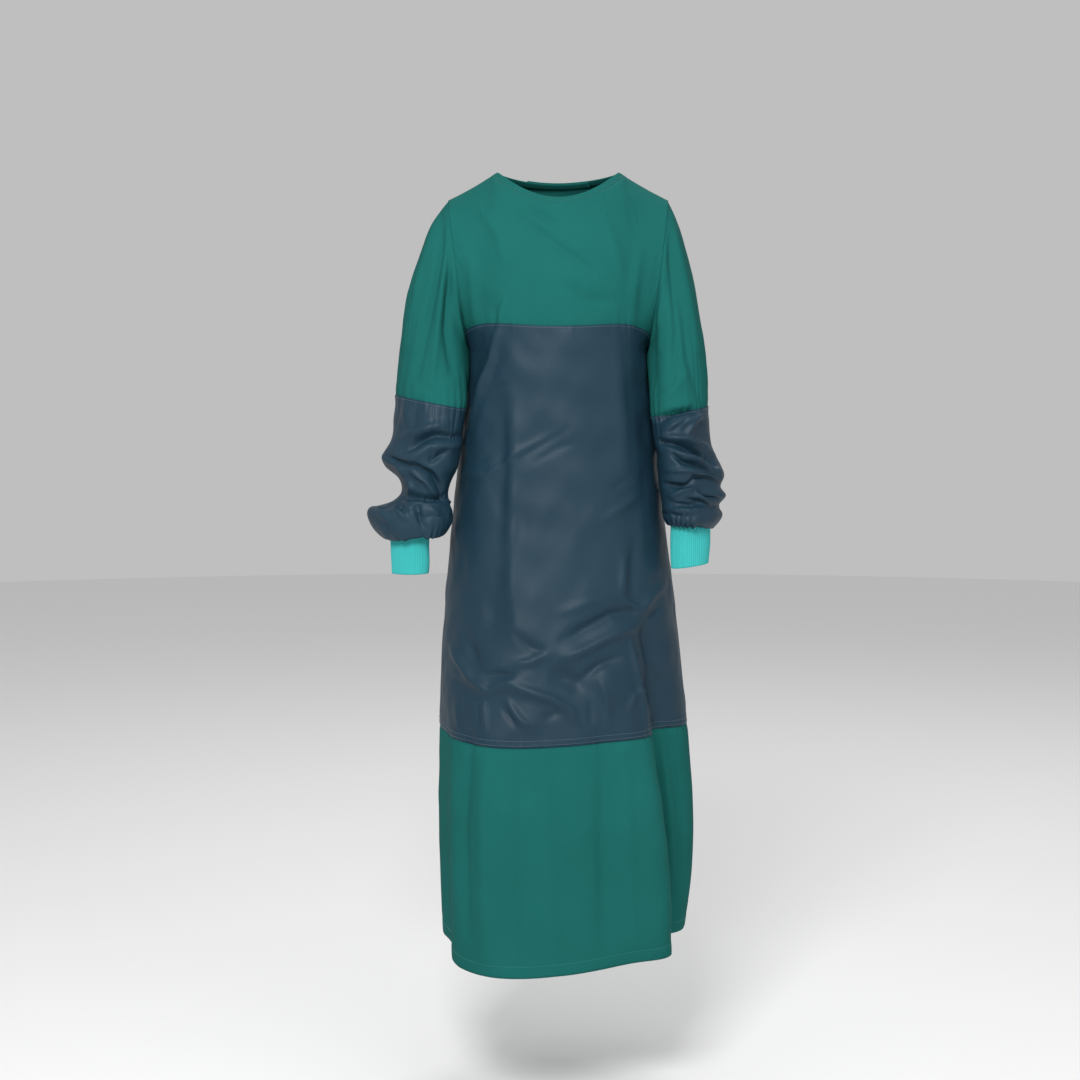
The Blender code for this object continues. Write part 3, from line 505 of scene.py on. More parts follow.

# %% [markdown]
# ## Creases placed one by one
#
# A crease is a soft trough or ridge along a line. It is drawn on the front view, as points of x
# and z, with its half width and its height, which is negative in a trough. A point of the cloth
# moves along its own normal by height x exp(-(distance / half width)^2), and the crease fades at
# both ends. A simulation alone would put the folds elsewhere, so the main ones are placed first.

# %% Lines of the creases
# each row: x and z of the line's points, half width, height
FRONT_CREASES = (
    # the water-repellent panel: edges of its planes, drag lines to the hip, puckers at its seam
    (((-0.096, -0.259), (-0.106, -0.301), (-0.130, -0.362), (-0.147, -0.429)), 0.006, 0.005),
    (((-0.122, -0.270), (-0.137, -0.339), (-0.151, -0.401)), 0.012, -0.004),
    (((-0.074, -0.355), (-0.071, -0.439), (-0.074, -0.548), (-0.075, -0.656), (-0.066, -0.724)),
     0.012, 0.0035),
    (((-0.086, -0.362), (-0.086, -0.470), (-0.091, -0.609)), 0.014, -0.003),
    (((-0.116, -0.348), (-0.080, -0.336)), 0.004, -0.0018),
    (((-0.153, -0.478), (-0.113, -0.483), (-0.071, -0.447), (0.005, -0.410)), 0.005, 0.0026),
    (((-0.125, -0.458), (-0.083, -0.424)), 0.006, -0.0018),
    (((-0.049, -0.444), (-0.017, -0.424), (0.013, -0.407)), 0.004, -0.0022),
    (((-0.037, -0.458), (0.002, -0.435), (0.023, -0.429)), 0.004, -0.0016),
    (((0.088, -0.277), (0.097, -0.393), (0.101, -0.486)), 0.014, 0.003),
    (((0.130, -0.285), (0.137, -0.409), (0.142, -0.517)), 0.013, -0.003),
    (((0.070, -0.548), (0.107, -0.524), (0.125, -0.514)), 0.006, 0.0025),
    (((0.082, -0.501), (0.110, -0.483)), 0.005, -0.0015),
    (((0.102, -0.609), (0.099, -0.667)), 0.006, 0.003),
    (((0.119, -0.578), (0.116, -0.671)), 0.009, -0.0035),
    (((0.101, -0.673), (0.119, -0.683), (0.138, -0.699)), 0.004, 0.0035),
    (((0.167, -0.656), (0.141, -0.676), (0.125, -0.699)), 0.007, 0.0045),
    (((0.162, -0.690), (0.144, -0.705)), 0.005, -0.004),
    (((0.127, -0.691), (0.082, -0.694), (0.040, -0.714), (0.005, -0.734)), 0.0075, -0.006),
    (((0.131, -0.710), (0.079, -0.728), (0.037, -0.748), (0.011, -0.759)), 0.008, 0.007),
    (((0.093, -0.759), (0.060, -0.772), (0.030, -0.796)), 0.006, -0.005),
    (((0.064, -0.671), (0.025, -0.682), (0.002, -0.690)), 0.006, 0.0018),
    (((-0.066, -0.724), (-0.045, -0.741), (-0.020, -0.751)), 0.006, -0.0035),
    (((-0.065, -0.768), (-0.042, -0.764), (-0.017, -0.751)), 0.0055, 0.005),
    (((-0.116, -0.787), (-0.091, -0.784), (-0.065, -0.785)), 0.0045, -0.005),
    (((-0.174, -0.748), (-0.153, -0.775), (-0.136, -0.796), (-0.108, -0.812), (-0.066, -0.790)),
     0.006, 0.0055),
    (((-0.145, -0.733), (-0.134, -0.756), (-0.125, -0.776)), 0.01, -0.0045),
    (((-0.174, -0.798), (-0.150, -0.810), (-0.122, -0.826)), 0.008, -0.003),
    (((-0.075, -0.801), (-0.045, -0.810), (-0.011, -0.821), (0.019, -0.839)), 0.007, 0.0065),
    (((0.019, -0.839), (0.028, -0.860)), 0.004, 0.0035),
    (((-0.079, -0.826), (-0.060, -0.852), (-0.042, -0.864)), 0.005, 0.0045),
    (((-0.085, -0.835), (-0.066, -0.860)), 0.004, -0.0035),
    (((-0.021, -0.850), (0.002, -0.838)), 0.005, -0.003),
    (((-0.017, -0.782), (0.017, -0.792), (0.040, -0.810)), 0.015, -0.0065),
    (((0.066, -0.770), (0.086, -0.836)), 0.018, 0.0040),
    (((-0.100, -0.620), (-0.104, -0.700), (-0.120, -0.760)), 0.020, -0.0045),
    (((0.132, -0.700), (0.146, -0.760), (0.156, -0.868)), 0.011, -0.0065),
    (((0.064, -0.798), (0.073, -0.826), (0.077, -0.860)), 0.005, 0.003),
    (((0.048, -0.826), (0.051, -0.860)), 0.004, -0.0025),
    (((0.113, -0.738), (0.125, -0.795), (0.139, -0.869)), 0.004, 0.0045),
    (((0.125, -0.745), (0.141, -0.810), (0.150, -0.869)), 0.006, -0.005),
    (((0.138, -0.810), (0.119, -0.822), (0.110, -0.844)), 0.004, 0.003),
    (((-0.160, -0.833), (-0.156, -0.869)), 0.004, 0.002),
    (((-0.117, -0.826), (-0.114, -0.872)), 0.004, 0.0025),
    (((-0.125, -0.832), (-0.123, -0.872)), 0.003, -0.002),
    # the skirt: upright folds
    (((-0.137, -0.878), (-0.148, -1.024), (-0.143, -1.186)), 0.009, -0.0045),
    (((-0.112, -0.883), (-0.115, -1.040), (-0.111, -1.217)), 0.014, 0.0055),
    (((-0.075, -0.886), (-0.072, -1.055), (-0.069, -1.225)), 0.01, -0.0025),
    (((-0.021, -0.894), (-0.017, -1.055), (-0.005, -1.225)), 0.012, 0.002),
    (((0.068, -0.886), (0.069, -1.055), (0.072, -1.209)), 0.012, -0.0035),
    (((0.102, -0.886), (0.109, -1.055), (0.119, -1.209)), 0.01, 0.0025),
    (((-0.165, -0.878), (-0.168, -1.024), (-0.165, -1.178)), 0.006, 0.0025),
    (((0.162, -0.886), (0.180, -1.024), (0.186, -1.132)), 0.006, 0.003),
    (((0.174, -0.886), (0.194, -1.009), (0.196, -1.132)), 0.005, -0.003),
    # the yoke
    (((-0.067, -0.074), (-0.006, -0.121), (0.053, -0.165)), 0.008, -0.0034),
    (((-0.056, -0.059), (-0.021, -0.079), (0.007, -0.096)), 0.006, -0.0026),
    (((-0.126, -0.059), (-0.095, -0.105), (-0.084, -0.147)), 0.009, 0.002),
    (((0.064, -0.059), (0.083, -0.113), (0.099, -0.175)), 0.01, 0.0022),
    (((-0.084, -0.207), (-0.090, -0.230), (-0.093, -0.250)), 0.004, 0.0022),
    (((-0.099, -0.219), (-0.102, -0.250)), 0.004, -0.0018),
    (((-0.138, -0.147), (-0.132, -0.207), (-0.129, -0.253)), 0.008, 0.003),
    (((0.127, -0.129), (0.117, -0.191), (0.114, -0.253)), 0.009, 0.0025),
    (((0.002, -0.183), (0.041, -0.207), (0.088, -0.211)), 0.01, -0.0030),
)
SLEEVE_CREASES = {
    "right": (
        (((-0.192, -0.043), (-0.206, -0.112), (-0.231, -0.206), (-0.242, -0.276)), 0.008, 0.0045),
        (((-0.179, -0.050), (-0.184, -0.128), (-0.204, -0.237), (-0.223, -0.331)), 0.007, -0.005),
        (((-0.167, -0.073), (-0.171, -0.159), (-0.176, -0.253), (-0.167, -0.319)), 0.007, -0.0055),
        (((-0.175, -0.058), (-0.176, -0.147), (-0.189, -0.253), (-0.198, -0.339)), 0.006, 0.004),
        (((-0.159, -0.128), (-0.156, -0.222), (-0.153, -0.284)), 0.005, 0.003),
        (((-0.211, -0.100), (-0.229, -0.167), (-0.243, -0.253)), 0.006, -0.003),
        (((-0.237, -0.364), (-0.240, -0.403)), 0.006, 0.0025),
        (((-0.242, -0.444), (-0.220, -0.427), (-0.193, -0.417), (-0.148, -0.422)), 0.006, -0.0075),
        (((-0.236, -0.459), (-0.201, -0.436), (-0.154, -0.434)), 0.007, 0.005),
        (((-0.248, -0.422), (-0.217, -0.409), (-0.176, -0.400)), 0.007, 0.004),
        (((-0.275, -0.447), (-0.257, -0.459), (-0.226, -0.464), (-0.201, -0.477),
          (-0.186, -0.494), (-0.179, -0.514)),
         0.005, -0.0075),
        (((-0.270, -0.459), (-0.251, -0.467), (-0.234, -0.484), (-0.229, -0.500), (-0.239, -0.513)),
         0.0045, 0.005),
        (((-0.226, -0.472), (-0.206, -0.488), (-0.196, -0.506)), 0.0045, 0.0045),
        (((-0.201, -0.459), (-0.176, -0.442)), 0.005, -0.005),
        (((-0.248, -0.514), (-0.223, -0.513), (-0.186, -0.517), (-0.171, -0.513)), 0.0045, -0.0075),
        (((-0.257, -0.522), (-0.236, -0.536)), 0.0045, -0.0035),
        (((-0.221, -0.525), (-0.217, -0.541), (-0.211, -0.559)), 0.005, -0.005),
        (((-0.201, -0.528), (-0.184, -0.550)), 0.006, 0.003),
        (((-0.286, -0.531), (-0.267, -0.550)), 0.006, 0.003),
        (((-0.273, -0.550), (-0.264, -0.575)), 0.004, -0.0035),
        (((-0.250, -0.531), (-0.240, -0.547)), 0.0045, 0.003),
    ),
    "left": (
        (((0.169, -0.050), (0.190, -0.128), (0.209, -0.222), (0.221, -0.284)), 0.008, 0.004),
        (((0.165, -0.073), (0.177, -0.159), (0.184, -0.253), (0.177, -0.339)), 0.007, -0.0045),
        (((0.155, -0.100), (0.160, -0.190), (0.158, -0.284)), 0.006, 0.0035),
        (((0.171, -0.073), (0.190, -0.190), (0.205, -0.300), (0.221, -0.362)), 0.007, -0.003),
        (((0.151, -0.206), (0.152, -0.300), (0.155, -0.355)), 0.005, -0.004),
        (((0.198, -0.323), (0.174, -0.350), (0.158, -0.372)), 0.008, 0.003),
        (((0.155, -0.394), (0.177, -0.383), (0.212, -0.378)), 0.005, -0.008),
        (((0.165, -0.409), (0.205, -0.391), (0.229, -0.387)), 0.006, 0.0045),
        (((0.176, -0.411), (0.209, -0.384)), 0.0035, -0.003),
        (((0.199, -0.420), (0.216, -0.387)), 0.004, 0.004),
        (((0.157, -0.428), (0.193, -0.434), (0.223, -0.448), (0.248, -0.467)), 0.0045, -0.008),
        (((0.162, -0.419), (0.196, -0.422), (0.227, -0.434), (0.246, -0.450)), 0.0045, 0.005),
        (((0.184, -0.444), (0.221, -0.456), (0.257, -0.475)), 0.0045, 0.005),
        (((0.179, -0.448), (0.193, -0.459), (0.223, -0.464), (0.255, -0.483)), 0.0035, -0.0065),
        (((0.171, -0.472), (0.205, -0.472), (0.229, -0.481)), 0.004, 0.0035),
        (((0.166, -0.495), (0.202, -0.498)), 0.004, -0.007),
        (((0.202, -0.494), (0.212, -0.484), (0.234, -0.484), (0.255, -0.494)), 0.0035, -0.0055),
        (((0.176, -0.513), (0.196, -0.503), (0.212, -0.500), (0.235, -0.523)), 0.004, 0.005),
        (((0.213, -0.502), (0.237, -0.513), (0.257, -0.519)), 0.004, -0.0065),
        (((0.199, -0.517), (0.223, -0.522)), 0.004, -0.0035),
        (((0.173, -0.534), (0.205, -0.536), (0.234, -0.531)), 0.004, 0.0045),
        (((0.177, -0.523), (0.205, -0.527), (0.226, -0.523)), 0.0035, -0.003),
    ),
}
# the back: drags from the ties, a hollow between the shoulders and upright folds
BACK_CREASES = (
    (((0.020, -0.075), (0.070, -0.120), (0.120, -0.190)), 0.010, -0.0030),
    (((-0.020, -0.070), (-0.075, -0.130), (-0.120, -0.215)), 0.010, 0.0030),
    (((0.060, -0.060), (0.095, -0.150), (0.110, -0.260)), 0.012, 0.0035),
    (((-0.060, -0.060), (-0.100, -0.170), (-0.112, -0.290)), 0.012, -0.0035),
    (((-0.060, -0.535), (-0.105, -0.560), (-0.150, -0.600)), 0.007, -0.0050),
    (((-0.055, -0.515), (-0.105, -0.520), (-0.160, -0.545)), 0.008, 0.0040),
    (((-0.020, -0.500), (0.045, -0.475), (0.120, -0.480)), 0.008, -0.0045),
    (((-0.015, -0.530), (0.050, -0.545), (0.125, -0.590)), 0.007, 0.0045),
    (((0.040, -0.590), (0.062, -0.760), (0.070, -0.980)), 0.016, -0.0060),
    (((0.090, -0.420), (0.104, -0.640), (0.118, -0.900), (0.120, -1.180)), 0.018, 0.0070),
    (((-0.070, -0.600), (-0.088, -0.820), (-0.092, -1.190)), 0.016, 0.0060),
    (((-0.125, -0.380), (-0.130, -0.700), (-0.140, -1.050)), 0.016, -0.0060),
    (((0.000, -0.620), (0.008, -0.880), (0.004, -1.200)), 0.014, 0.0040),
    (((0.150, -0.700), (0.160, -0.900), (0.156, -1.150)), 0.010, -0.0050),
    (((-0.030, -0.760), (-0.036, -0.980), (-0.030, -1.200)), 0.011, -0.0045),
)


# %% Creasing a grid
FADE_MARGIN = 0.06            # share of the half sine that is left off before and after a crease
FADE_POWER = 0.6
FACING_GAIN = 1.6             # how soon a crease dies away where the cloth turns to the side


def distance_to_line(points, line):
    """Distance, in the front view, to the nearest piece of the line, and how far along the line
    that piece's nearest point lies, from 0 to 1."""
    seen = points[..., (0, 2)]
    best = np.full(seen.shape[:-1], np.inf)
    place = np.zeros(seen.shape[:-1])
    count = len(line) - 1
    for i in range(count):
        start, way = np.array(line[i]), np.array(line[i + 1]) - np.array(line[i])
        along = np.clip((seen - start) @ way / (way @ way), 0.0, 1.0)
        apart = np.linalg.norm(seen - start - along[..., None] * way, axis=-1)
        nearer = apart < best
        best = np.where(nearer, apart, best)
        place = np.where(nearer, (i + along) / count, place)
    return best, place


def creased(points, normals, lines, facing, strength=1.0):
    """Sum of height x exp(-(distance / half width)^2) x sin(pi place)^0.6 of all creases, only
    where the cloth looks to their side."""
    total = np.zeros(points.shape[:-1])
    for line, half_width, height in lines:
        apart, place = distance_to_line(points, line)
        inner = np.clip(FADE_MARGIN + (1.0 - 2 * FADE_MARGIN) * place, 0.0, 1.0)
        fade = np.sin(math.pi * inner) ** FADE_POWER
        total += height * np.exp(-(apart / half_width) ** 2) * fade
    return strength * total * ease(FACING_GAIN * facing * normals[..., 1])

# %% [markdown]
# ## Settling the sewn garment
#
# The grids share their points along every seam, so joined by place they are one sewn garment. A
# short cloth simulation lets it relax: its cloth is a little larger than its shape, so it buckles
# finely, most in the forearms, while each point is held softly to its place. The neckline, the
# shoulder seams and the cuff seams hold fast.

# %% Settling
SETTLE_FRAMES = 26
SETTLE_CAP = 0.007            # no point moves further than this
SEW_WITHIN = 2e-5             # points that round to the same cell of this size are sewn together
CLOSED = (False, False, True, True)   # front, back and the two sleeves, which are tubes
CLOTH_SETTINGS = {
    "quality": 6,
    "mass": 0.15,
    "tension_stiffness": 12.0,
    "compression_stiffness": 12.0,
    "shear_stiffness": 4.0,
    "bending_stiffness": 0.04,
    "vertex_group_mass": "hold",
    "pin_stiffness": 1.0,
    "vertex_group_shrink": "growth",
    "shrink_min": 0.0,
    "shrink_max": -0.10,      # negative, so the cloth grows by up to a tenth
}
LITTLE_GRAVITY = 0.2          # share of gravity, since the grids already hang as the gown does


def sewn_faces(grids, index_of):
    """Quads of all grids, over the points that they share once they are joined."""
    quads = []
    start = 0
    for grid, closed in zip(grids, CLOSED):
        index = index_of[start: start + grid.shape[0] * grid.shape[1]].reshape(grid.shape[:2])
        right = np.roll(index, -1, axis=1) if closed else index[:, 1:]
        left = index if closed else index[:, :-1]
        quads.append(np.stack([left[:-1], left[1:], right[1:], right[:-1]], axis=-1).reshape(-1, 4))
        start += index.size
    return np.concatenate(quads)


def add_weights(sewn, name, weights):
    """A vertex group from one weight for each point, in steps of a hundredth."""
    group = sewn.vertex_groups.new(name=name)
    levels = np.round(weights, 2)
    for level in np.unique(levels):
        group.add(np.nonzero(levels == level)[0].tolist(), float(level), "REPLACE")


def settle(grids, hold, growth):
    """Join grids at equal places, run the cloth, cap each point's way and part them again."""
    points = np.concatenate([grid.reshape(-1, 3) for grid in grids])
    cells = np.round(points / SEW_WITHIN).astype(np.int64)
    _, first, index_of = np.unique(cells, axis=0, return_index=True, return_inverse=True)
    index_of = index_of.ravel()
    mesh = bpy.data.meshes.new("sewn")
    mesh.from_pydata(points[first].tolist(), [], sewn_faces(grids, index_of).tolist())
    sewn = bpy.data.objects.new("sewn", mesh)
    scene.collection.objects.link(sewn)
    add_weights(sewn, "hold", np.concatenate([w.ravel() for w in hold])[first])
    add_weights(sewn, "growth", np.concatenate([w.ravel() for w in growth])[first])
    cloth = sewn.modifiers.new("cloth", "CLOTH")
    for key, value in CLOTH_SETTINGS.items():
        setattr(cloth.settings, key, value)
    cloth.settings.effector_weights.gravity = LITTLE_GRAVITY
    cloth.collision_settings.use_collision = False
    cloth.point_cache.frame_end = SETTLE_FRAMES
    for step in range(1, SETTLE_FRAMES + 1):
        scene.frame_set(step)
    evaluated = sewn.evaluated_get(bpy.context.evaluated_depsgraph_get()).to_mesh()
    settled = np.empty(len(first) * 3)
    evaluated.vertices.foreach_get("co", settled)
    move = settled.reshape(-1, 3)[index_of] - points
    scene.frame_set(1)
    bpy.data.objects.remove(sewn)
    way = np.linalg.norm(move, axis=1, keepdims=True)
    move *= np.minimum(1.0, SETTLE_CAP / np.maximum(way, 1e-9))
    print("before the cap: mean way %.1f mm, furthest %.1f mm" % (way.mean() * 1000, way.max() * 1000))
    sizes = [grid.shape[0] * grid.shape[1] for grid in grids]
    parts = np.split(points + move, np.cumsum(sizes)[:-1])
    return [part.reshape(grid.shape) for part, grid in zip(parts, grids)]


# %% Running it
BODY_HOLD = 0.22              # 1 holds a point fast, 0 lets it go
SLEEVE_HOLD = 0.14
SHOULDER_HOLD = 0.48          # added where the shoulder carries the sleeve
TOP_ROWS_HELD = 7.0
SHOULDER_RINGS_HELD = 22.0
CUFF_RINGS_HELD = 6
BODY_GROWTH = 0.2             # share of the greatest growth
UPPER_GROWTH = 0.25
GROWTH_START = 4              # rings above the forearm's seam
GROWTH_RINGS = 10.0


def sleeve_ring_numbers():
    """Number of its ring at each point of a sleeve's grid."""
    return np.arange(UPPER_RINGS + FOREARM_RINGS + 1)[:, None] + np.zeros(2 * ARMHOLE_ROWS)


def body_hold():
    """Held fast along the top edge, softly elsewhere."""
    rows = np.arange(front_grid.shape[0])[:, None] + np.zeros(HALF_COLUMNS + 1)
    return BODY_HOLD + (1.0 - BODY_HOLD) * (1.0 - ease(rows / TOP_ROWS_HELD))


def sleeve_hold():
    """Held softly, more where the shoulder carries the sleeve, and fast at the cuff seam."""
    rings = sleeve_ring_numbers()
    at_shoulder = SHOULDER_HOLD * (1.0 - ease(rings / SHOULDER_RINGS_HELD))
    at_cuff = ease((rings - UPPER_RINGS - FOREARM_RINGS + CUFF_RINGS_HELD) / CUFF_RINGS_HELD)
    return SLEEVE_HOLD + at_shoulder + (1.0 - SLEEVE_HOLD) * at_cuff


def sleeve_growth():
    """A little growth down the upper sleeve and the most in the forearm."""
    in_forearm = ease((sleeve_ring_numbers() - UPPER_RINGS + GROWTH_START) / GROWTH_RINGS)
    return UPPER_GROWTH + (1.0 - UPPER_GROWTH) * in_forearm


def body_growth():
    """A little growth all over the body."""
    return np.full(front_grid.shape[:2], BODY_GROWTH)


grids = [front_grid, back_grid, sleeve_grid["right"], sleeve_grid["left"]]
grids = settle(grids, (body_hold(), body_hold(), sleeve_hold(), sleeve_hold()),
               (body_growth(), body_growth(), sleeve_growth(), sleeve_growth()))
front_fine, back_fine = refine(grids[0]), refine(grids[1])
sleeve_fine = {side: refine(grid, closed=True) for side, grid in zip(SIDES, grids[2:])}

# %% [markdown]
# ## Seams
#
# A sewn seam draws the cloth in by a hair and puckers it unevenly, because the thread is tighter
# than the cloth. The puckers are a wave along the seam whose pace wanders, and they die away
# within a centimetre or two.

# %% Undulation
WAVES = 36
WAVE_LENGTHS = (0.022, 0.085)


def undulation(points, seed, height):
    """Sum of plane waves with random directions, each as high as its length allows, so that the
    cloth is never quite smooth. Their heights add up to about the height given."""
    rng = np.random.default_rng(seed)
    total = np.zeros(points.shape[:-1])
    wave_length = rng.uniform(*WAVE_LENGTHS, WAVES)
    share = wave_length / wave_length.sum()
    for i in range(WAVES):
        direction = unit(rng.normal(size=3))
        phase = rng.uniform(0.0, 2 * math.pi)
        total += share[i] * np.sin(2 * math.pi / wave_length[i] * (points @ direction) + phase)
    return height * math.sqrt(WAVES) * total


# %% Puckers
PUCKER_PITCH = 0.0125
PUCKER_REACH = 0.011


def pucker(along, away, height):
    """height x sin(2 pi s / pitch, with a wandering pace) x exp(-away / reach)."""
    pace = along / PUCKER_PITCH + 0.9 * np.sin(along * 41.0) + 0.5 * np.sin(along * 97.0 + 1.0)
    uneven = 0.55 + 0.45 * np.sin(along * 63.0 + 2.0)
    return height * uneven * np.sin(2 * math.pi * pace) * np.exp(-np.abs(away) / PUCKER_REACH)


def border_fade(shape, rows=(6, 0), columns=(6, 6)):
    """1 inside a grid, falling to 0 at the borders that it shares with another grid. Rows and
    columns count the lines over which it falls at the first and at the last border."""
    fade = np.ones(shape)
    first, last = rows
    r = np.arange(shape[0])[:, None]
    c = np.arange(shape[1])[None, :]
    if first:
        fade = fade * ease(r / first)
    if last:
        fade = fade * ease((shape[0] - 1 - r) / last)
    if columns:
        fade = fade * ease(c / columns[0]) * ease((shape[1] - 1 - c) / columns[1])
    return fade


HEM_DEPTH = 0.018             # the hem is turned up this far
HEM_RISE = 0.0006             # its two more layers of cloth stand out by this
HEM_SLOPE = 0.004             # way over which the cloth rises to the hem's thickness
FRONT_CREASE = 1.55           # how much higher than in the table the front's creases are
BACK_CREASE = 1.6
FRONT_UNREST = 0.0005         # height of the undulation
PANEL_UNREST = 0.0006         # added on the water-repellent panel
BACK_UNREST = 0.0007


def crease_body(points, lines, facing, strength, seams, unrest, seed):
    """Creases, seam puckers, unrest and the thicker hem of the front or the back, along its
    normals. Unrest is the height of the undulation in each row."""
    normals = normals_of(points)
    move = creased(points, normals, lines, facing, strength)
    move += undulation(points, seed, 1.0) * unrest[:, None]
    down = lengths(points, 0)
    across = lengths(points, 1)
    for row, height in seams:
        away = down - down[row]
        move += pucker(across[row] + 0 * away, away, height)
    move *= border_fade(move.shape)
    above_hem = down[-1] - down
    move += HEM_RISE * ease((HEM_DEPTH - above_hem) / HEM_SLOPE)
    return points + normals * move[..., None]


chest_row, skirt_row = 2 * YOKE_ROWS, 2 * SKIRT_ROW
fine_rows = np.arange(front_fine.shape[0])
on_panel = ease((fine_rows - chest_row) / 8.0) * ease((skirt_row - fine_rows) / 4.0)
HEM_PUCKER_ROW = -9           # about twice the hem's depth above its edge
# row of a seam, height of its puckers
FRONT_SEAMS = ((chest_row, 0.0007), (skirt_row, 0.0014), (HEM_PUCKER_ROW, 0.0006))
BACK_SEAMS = ((HEM_PUCKER_ROW, 0.0008),)
front_fine = crease_body(front_fine, FRONT_CREASES, -1.0, FRONT_CREASE, FRONT_SEAMS,
                         FRONT_UNREST + PANEL_UNREST * on_panel, 3)
back_fine = crease_body(back_fine, BACK_CREASES, 1.0, BACK_CREASE, BACK_SEAMS,
                        BACK_UNREST + 0 * fine_rows, 4)

# %% Creasing the sleeves
SLEEVE_LEAN = 0.006
LEAN_MIDDLE = {"right": 0.9, "left": 1.1}   # place round the sleeve, a little in front of its inner edge
LEAN_HALF_WIDTH = 0.16
UPPER_CREASE = 1.5            # how much higher than in the table the sleeves' creases are
FOREARM_CREASE = 1.6
UPPER_UNREST = 0.0005
FOREARM_UNREST = 0.0008       # added in the forearm
CUT_RING = 2 * UPPER_RINGS    # the fine grid's ring on the forearm's seam
CUFF_RING = 2 * (UPPER_RINGS + FOREARM_RINGS)
# ring of a seam or a gathering, height of its puckers
SLEEVE_SEAMS = ((CUT_RING, 0.0012), (CUFF_RING - 6, 0.0030))
# creases behind: how much lower they lie, how much wider and how high they are
BEHIND_SHIFT = 0.011
BEHIND_WIDTH = 1.15
BEHIND_HEIGHT = -0.8          # negative, since a ridge in front goes with a trough behind


def lean_on_body(side, shape):
    """How far the front of the sleeve's inner side leans over the body: a bell curve round the
    sleeve, from the underarm to the elbow."""
    share = refine_lines(np.unwrap(ring_shares(side), period=2.0)[:, None], True)[:, 0]
    share = np.where(np.arange(shape[1]) > shape[1] - 3, 2.0, share)   # not the mean of 2 and 0
    row = np.arange(shape[0])[:, None]
    along = ease((row - 1) / 9.0) * ease((CUT_RING + 20 - row) / 30.0)
    return SLEEVE_LEAN * along * np.exp(-((share - LEAN_MIDDLE[side]) / LEAN_HALF_WIDTH) ** 2)[None, :]


def crease_sleeve(side, points):
    """Creases in front and behind, unrest and seam puckers of a sleeve, along its normals."""
    normals = normals_of(points, closed=True)
    lines = SLEEVE_CREASES[side]
    behind = tuple(
        (tuple((x, z - BEHIND_SHIFT) for x, z in line), BEHIND_WIDTH * half_width, BEHIND_HEIGHT * height)
        for line, half_width, height in lines)
    ring = np.arange(points.shape[0])[:, None]
    in_forearm = ease((ring - CUT_RING + 4) / 8.0)
    move = creased(points, normals, lines, -1.0) + creased(points, normals, behind, 1.0)
    move *= UPPER_CREASE + (FOREARM_CREASE - UPPER_CREASE) * in_forearm
    unrest = UPPER_UNREST + FOREARM_UNREST * ease((ring - CUT_RING) / 8.0)
    move += undulation(points, 7, 1.0) * unrest
    down = lengths(points, 0)
    around = lengths(np.concatenate([points, points[:, :1]], axis=1), 1)[:, :-1]
    for row, height in SLEEVE_SEAMS:
        away = down - down[row]
        move += pucker(around[row] + 0 * away, away, height)
    fade = border_fade(move.shape, rows=(8, 4), columns=None)
    points = points + normals * (move * fade)[..., None]
    points[..., 0] -= math.copysign(1.0, points[0, 0, 0]) * lean_on_body(side, points.shape)
    return points


for side in SIDES:
    sleeve_fine[side] = crease_sleeve(side, sleeve_fine[side])
print("creased grids:", front_fine.shape, sleeve_fine["left"].shape)

# %% [markdown]
# ## Cutting the pieces
#
# Each piece is a stretch of a grid. Where it goes under its neighbour it gets a tucked edge: a few
# more rows, sunk by a little more than the cloth's thickness, as a seam allowance. Solidify gives
# the thickness inwards, so the outer face keeps its place.

# %% Making a piece of cloth
CLOTH_THICKNESS = 0.0010
TUCK_DEPTH = 0.0014
TUCK_LENGTH = 0.006
TUCK_ROWS = 3.0               # rows over which the cloth sinks


def tucked(points, axis, end, length=TUCK_LENGTH, depth=TUCK_DEPTH):
    """Two more lines past an edge, which go on straight and sink under the neighbour. The last
    lines before the edge sink softly too. Length is one value, or one for each point of the edge."""
    length = np.reshape(length, (-1, 1))
    moved = np.swapaxes(points, 0, axis)
    normals = np.swapaxes(normals_of(points), 0, axis)
    if end == "last":
        moved, normals = moved[::-1], normals[::-1]
    onward = unit(moved[0] - moved[1])
    extra = [moved[0] + onward * length * share - normals[0] * depth for share in (1.0, 0.5)]
    sink = depth * (1.0 - ease(np.arange(len(moved)) / TUCK_ROWS))
    whole = np.concatenate([np.stack(extra), moved - normals * sink.reshape(-1, 1, 1)])
    if end == "last":
        whole = whole[::-1]
    return np.swapaxes(whole, 0, axis)


def grid_faces(rows, columns, closed):
    """Four corners of every cell, in the order that makes the face look outwards."""
    index = np.arange(rows * columns).reshape(rows, columns)
    if closed:
        index = np.concatenate([index, index[:, :1]], axis=1)
    cell = [index[:-1, :-1], index[1:, :-1], index[1:, 1:], index[:-1, 1:]]
    return np.stack(cell, axis=-1).reshape(-1, 4)


def make_mesh(name, points, faces, uv=None, triangles=None):
    """A mesh from arrays of quads and triangles, smooth, with a UV map in metres where the corners'
    values are given."""
    corners = faces.ravel()
    starts = np.arange(0, faces.size, 4)
    if triangles is not None:
        starts = np.concatenate([starts, faces.size + np.arange(0, triangles.size, 3)])
        corners = np.concatenate([corners, triangles.ravel()])
    mesh = bpy.data.meshes.new(name)
    mesh.vertices.add(len(points))
    mesh.vertices.foreach_set("co", points.astype(np.float32).ravel())
    mesh.loops.add(len(corners))
    mesh.loops.foreach_set("vertex_index", corners.astype(np.int32))
    mesh.polygons.add(len(starts))
    mesh.polygons.foreach_set("loop_start", starts.astype(np.int32))
    if uv is not None:
        layer = mesh.uv_layers.new(name="cloth")
        layer.data.foreach_set("uv", uv.astype(np.float32).ravel())
    mesh.update(calc_edges=True)
    mesh.validate()
    mesh.shade_smooth()
    piece = bpy.data.objects.new(name, mesh)
    scene.collection.objects.link(piece)
    return piece


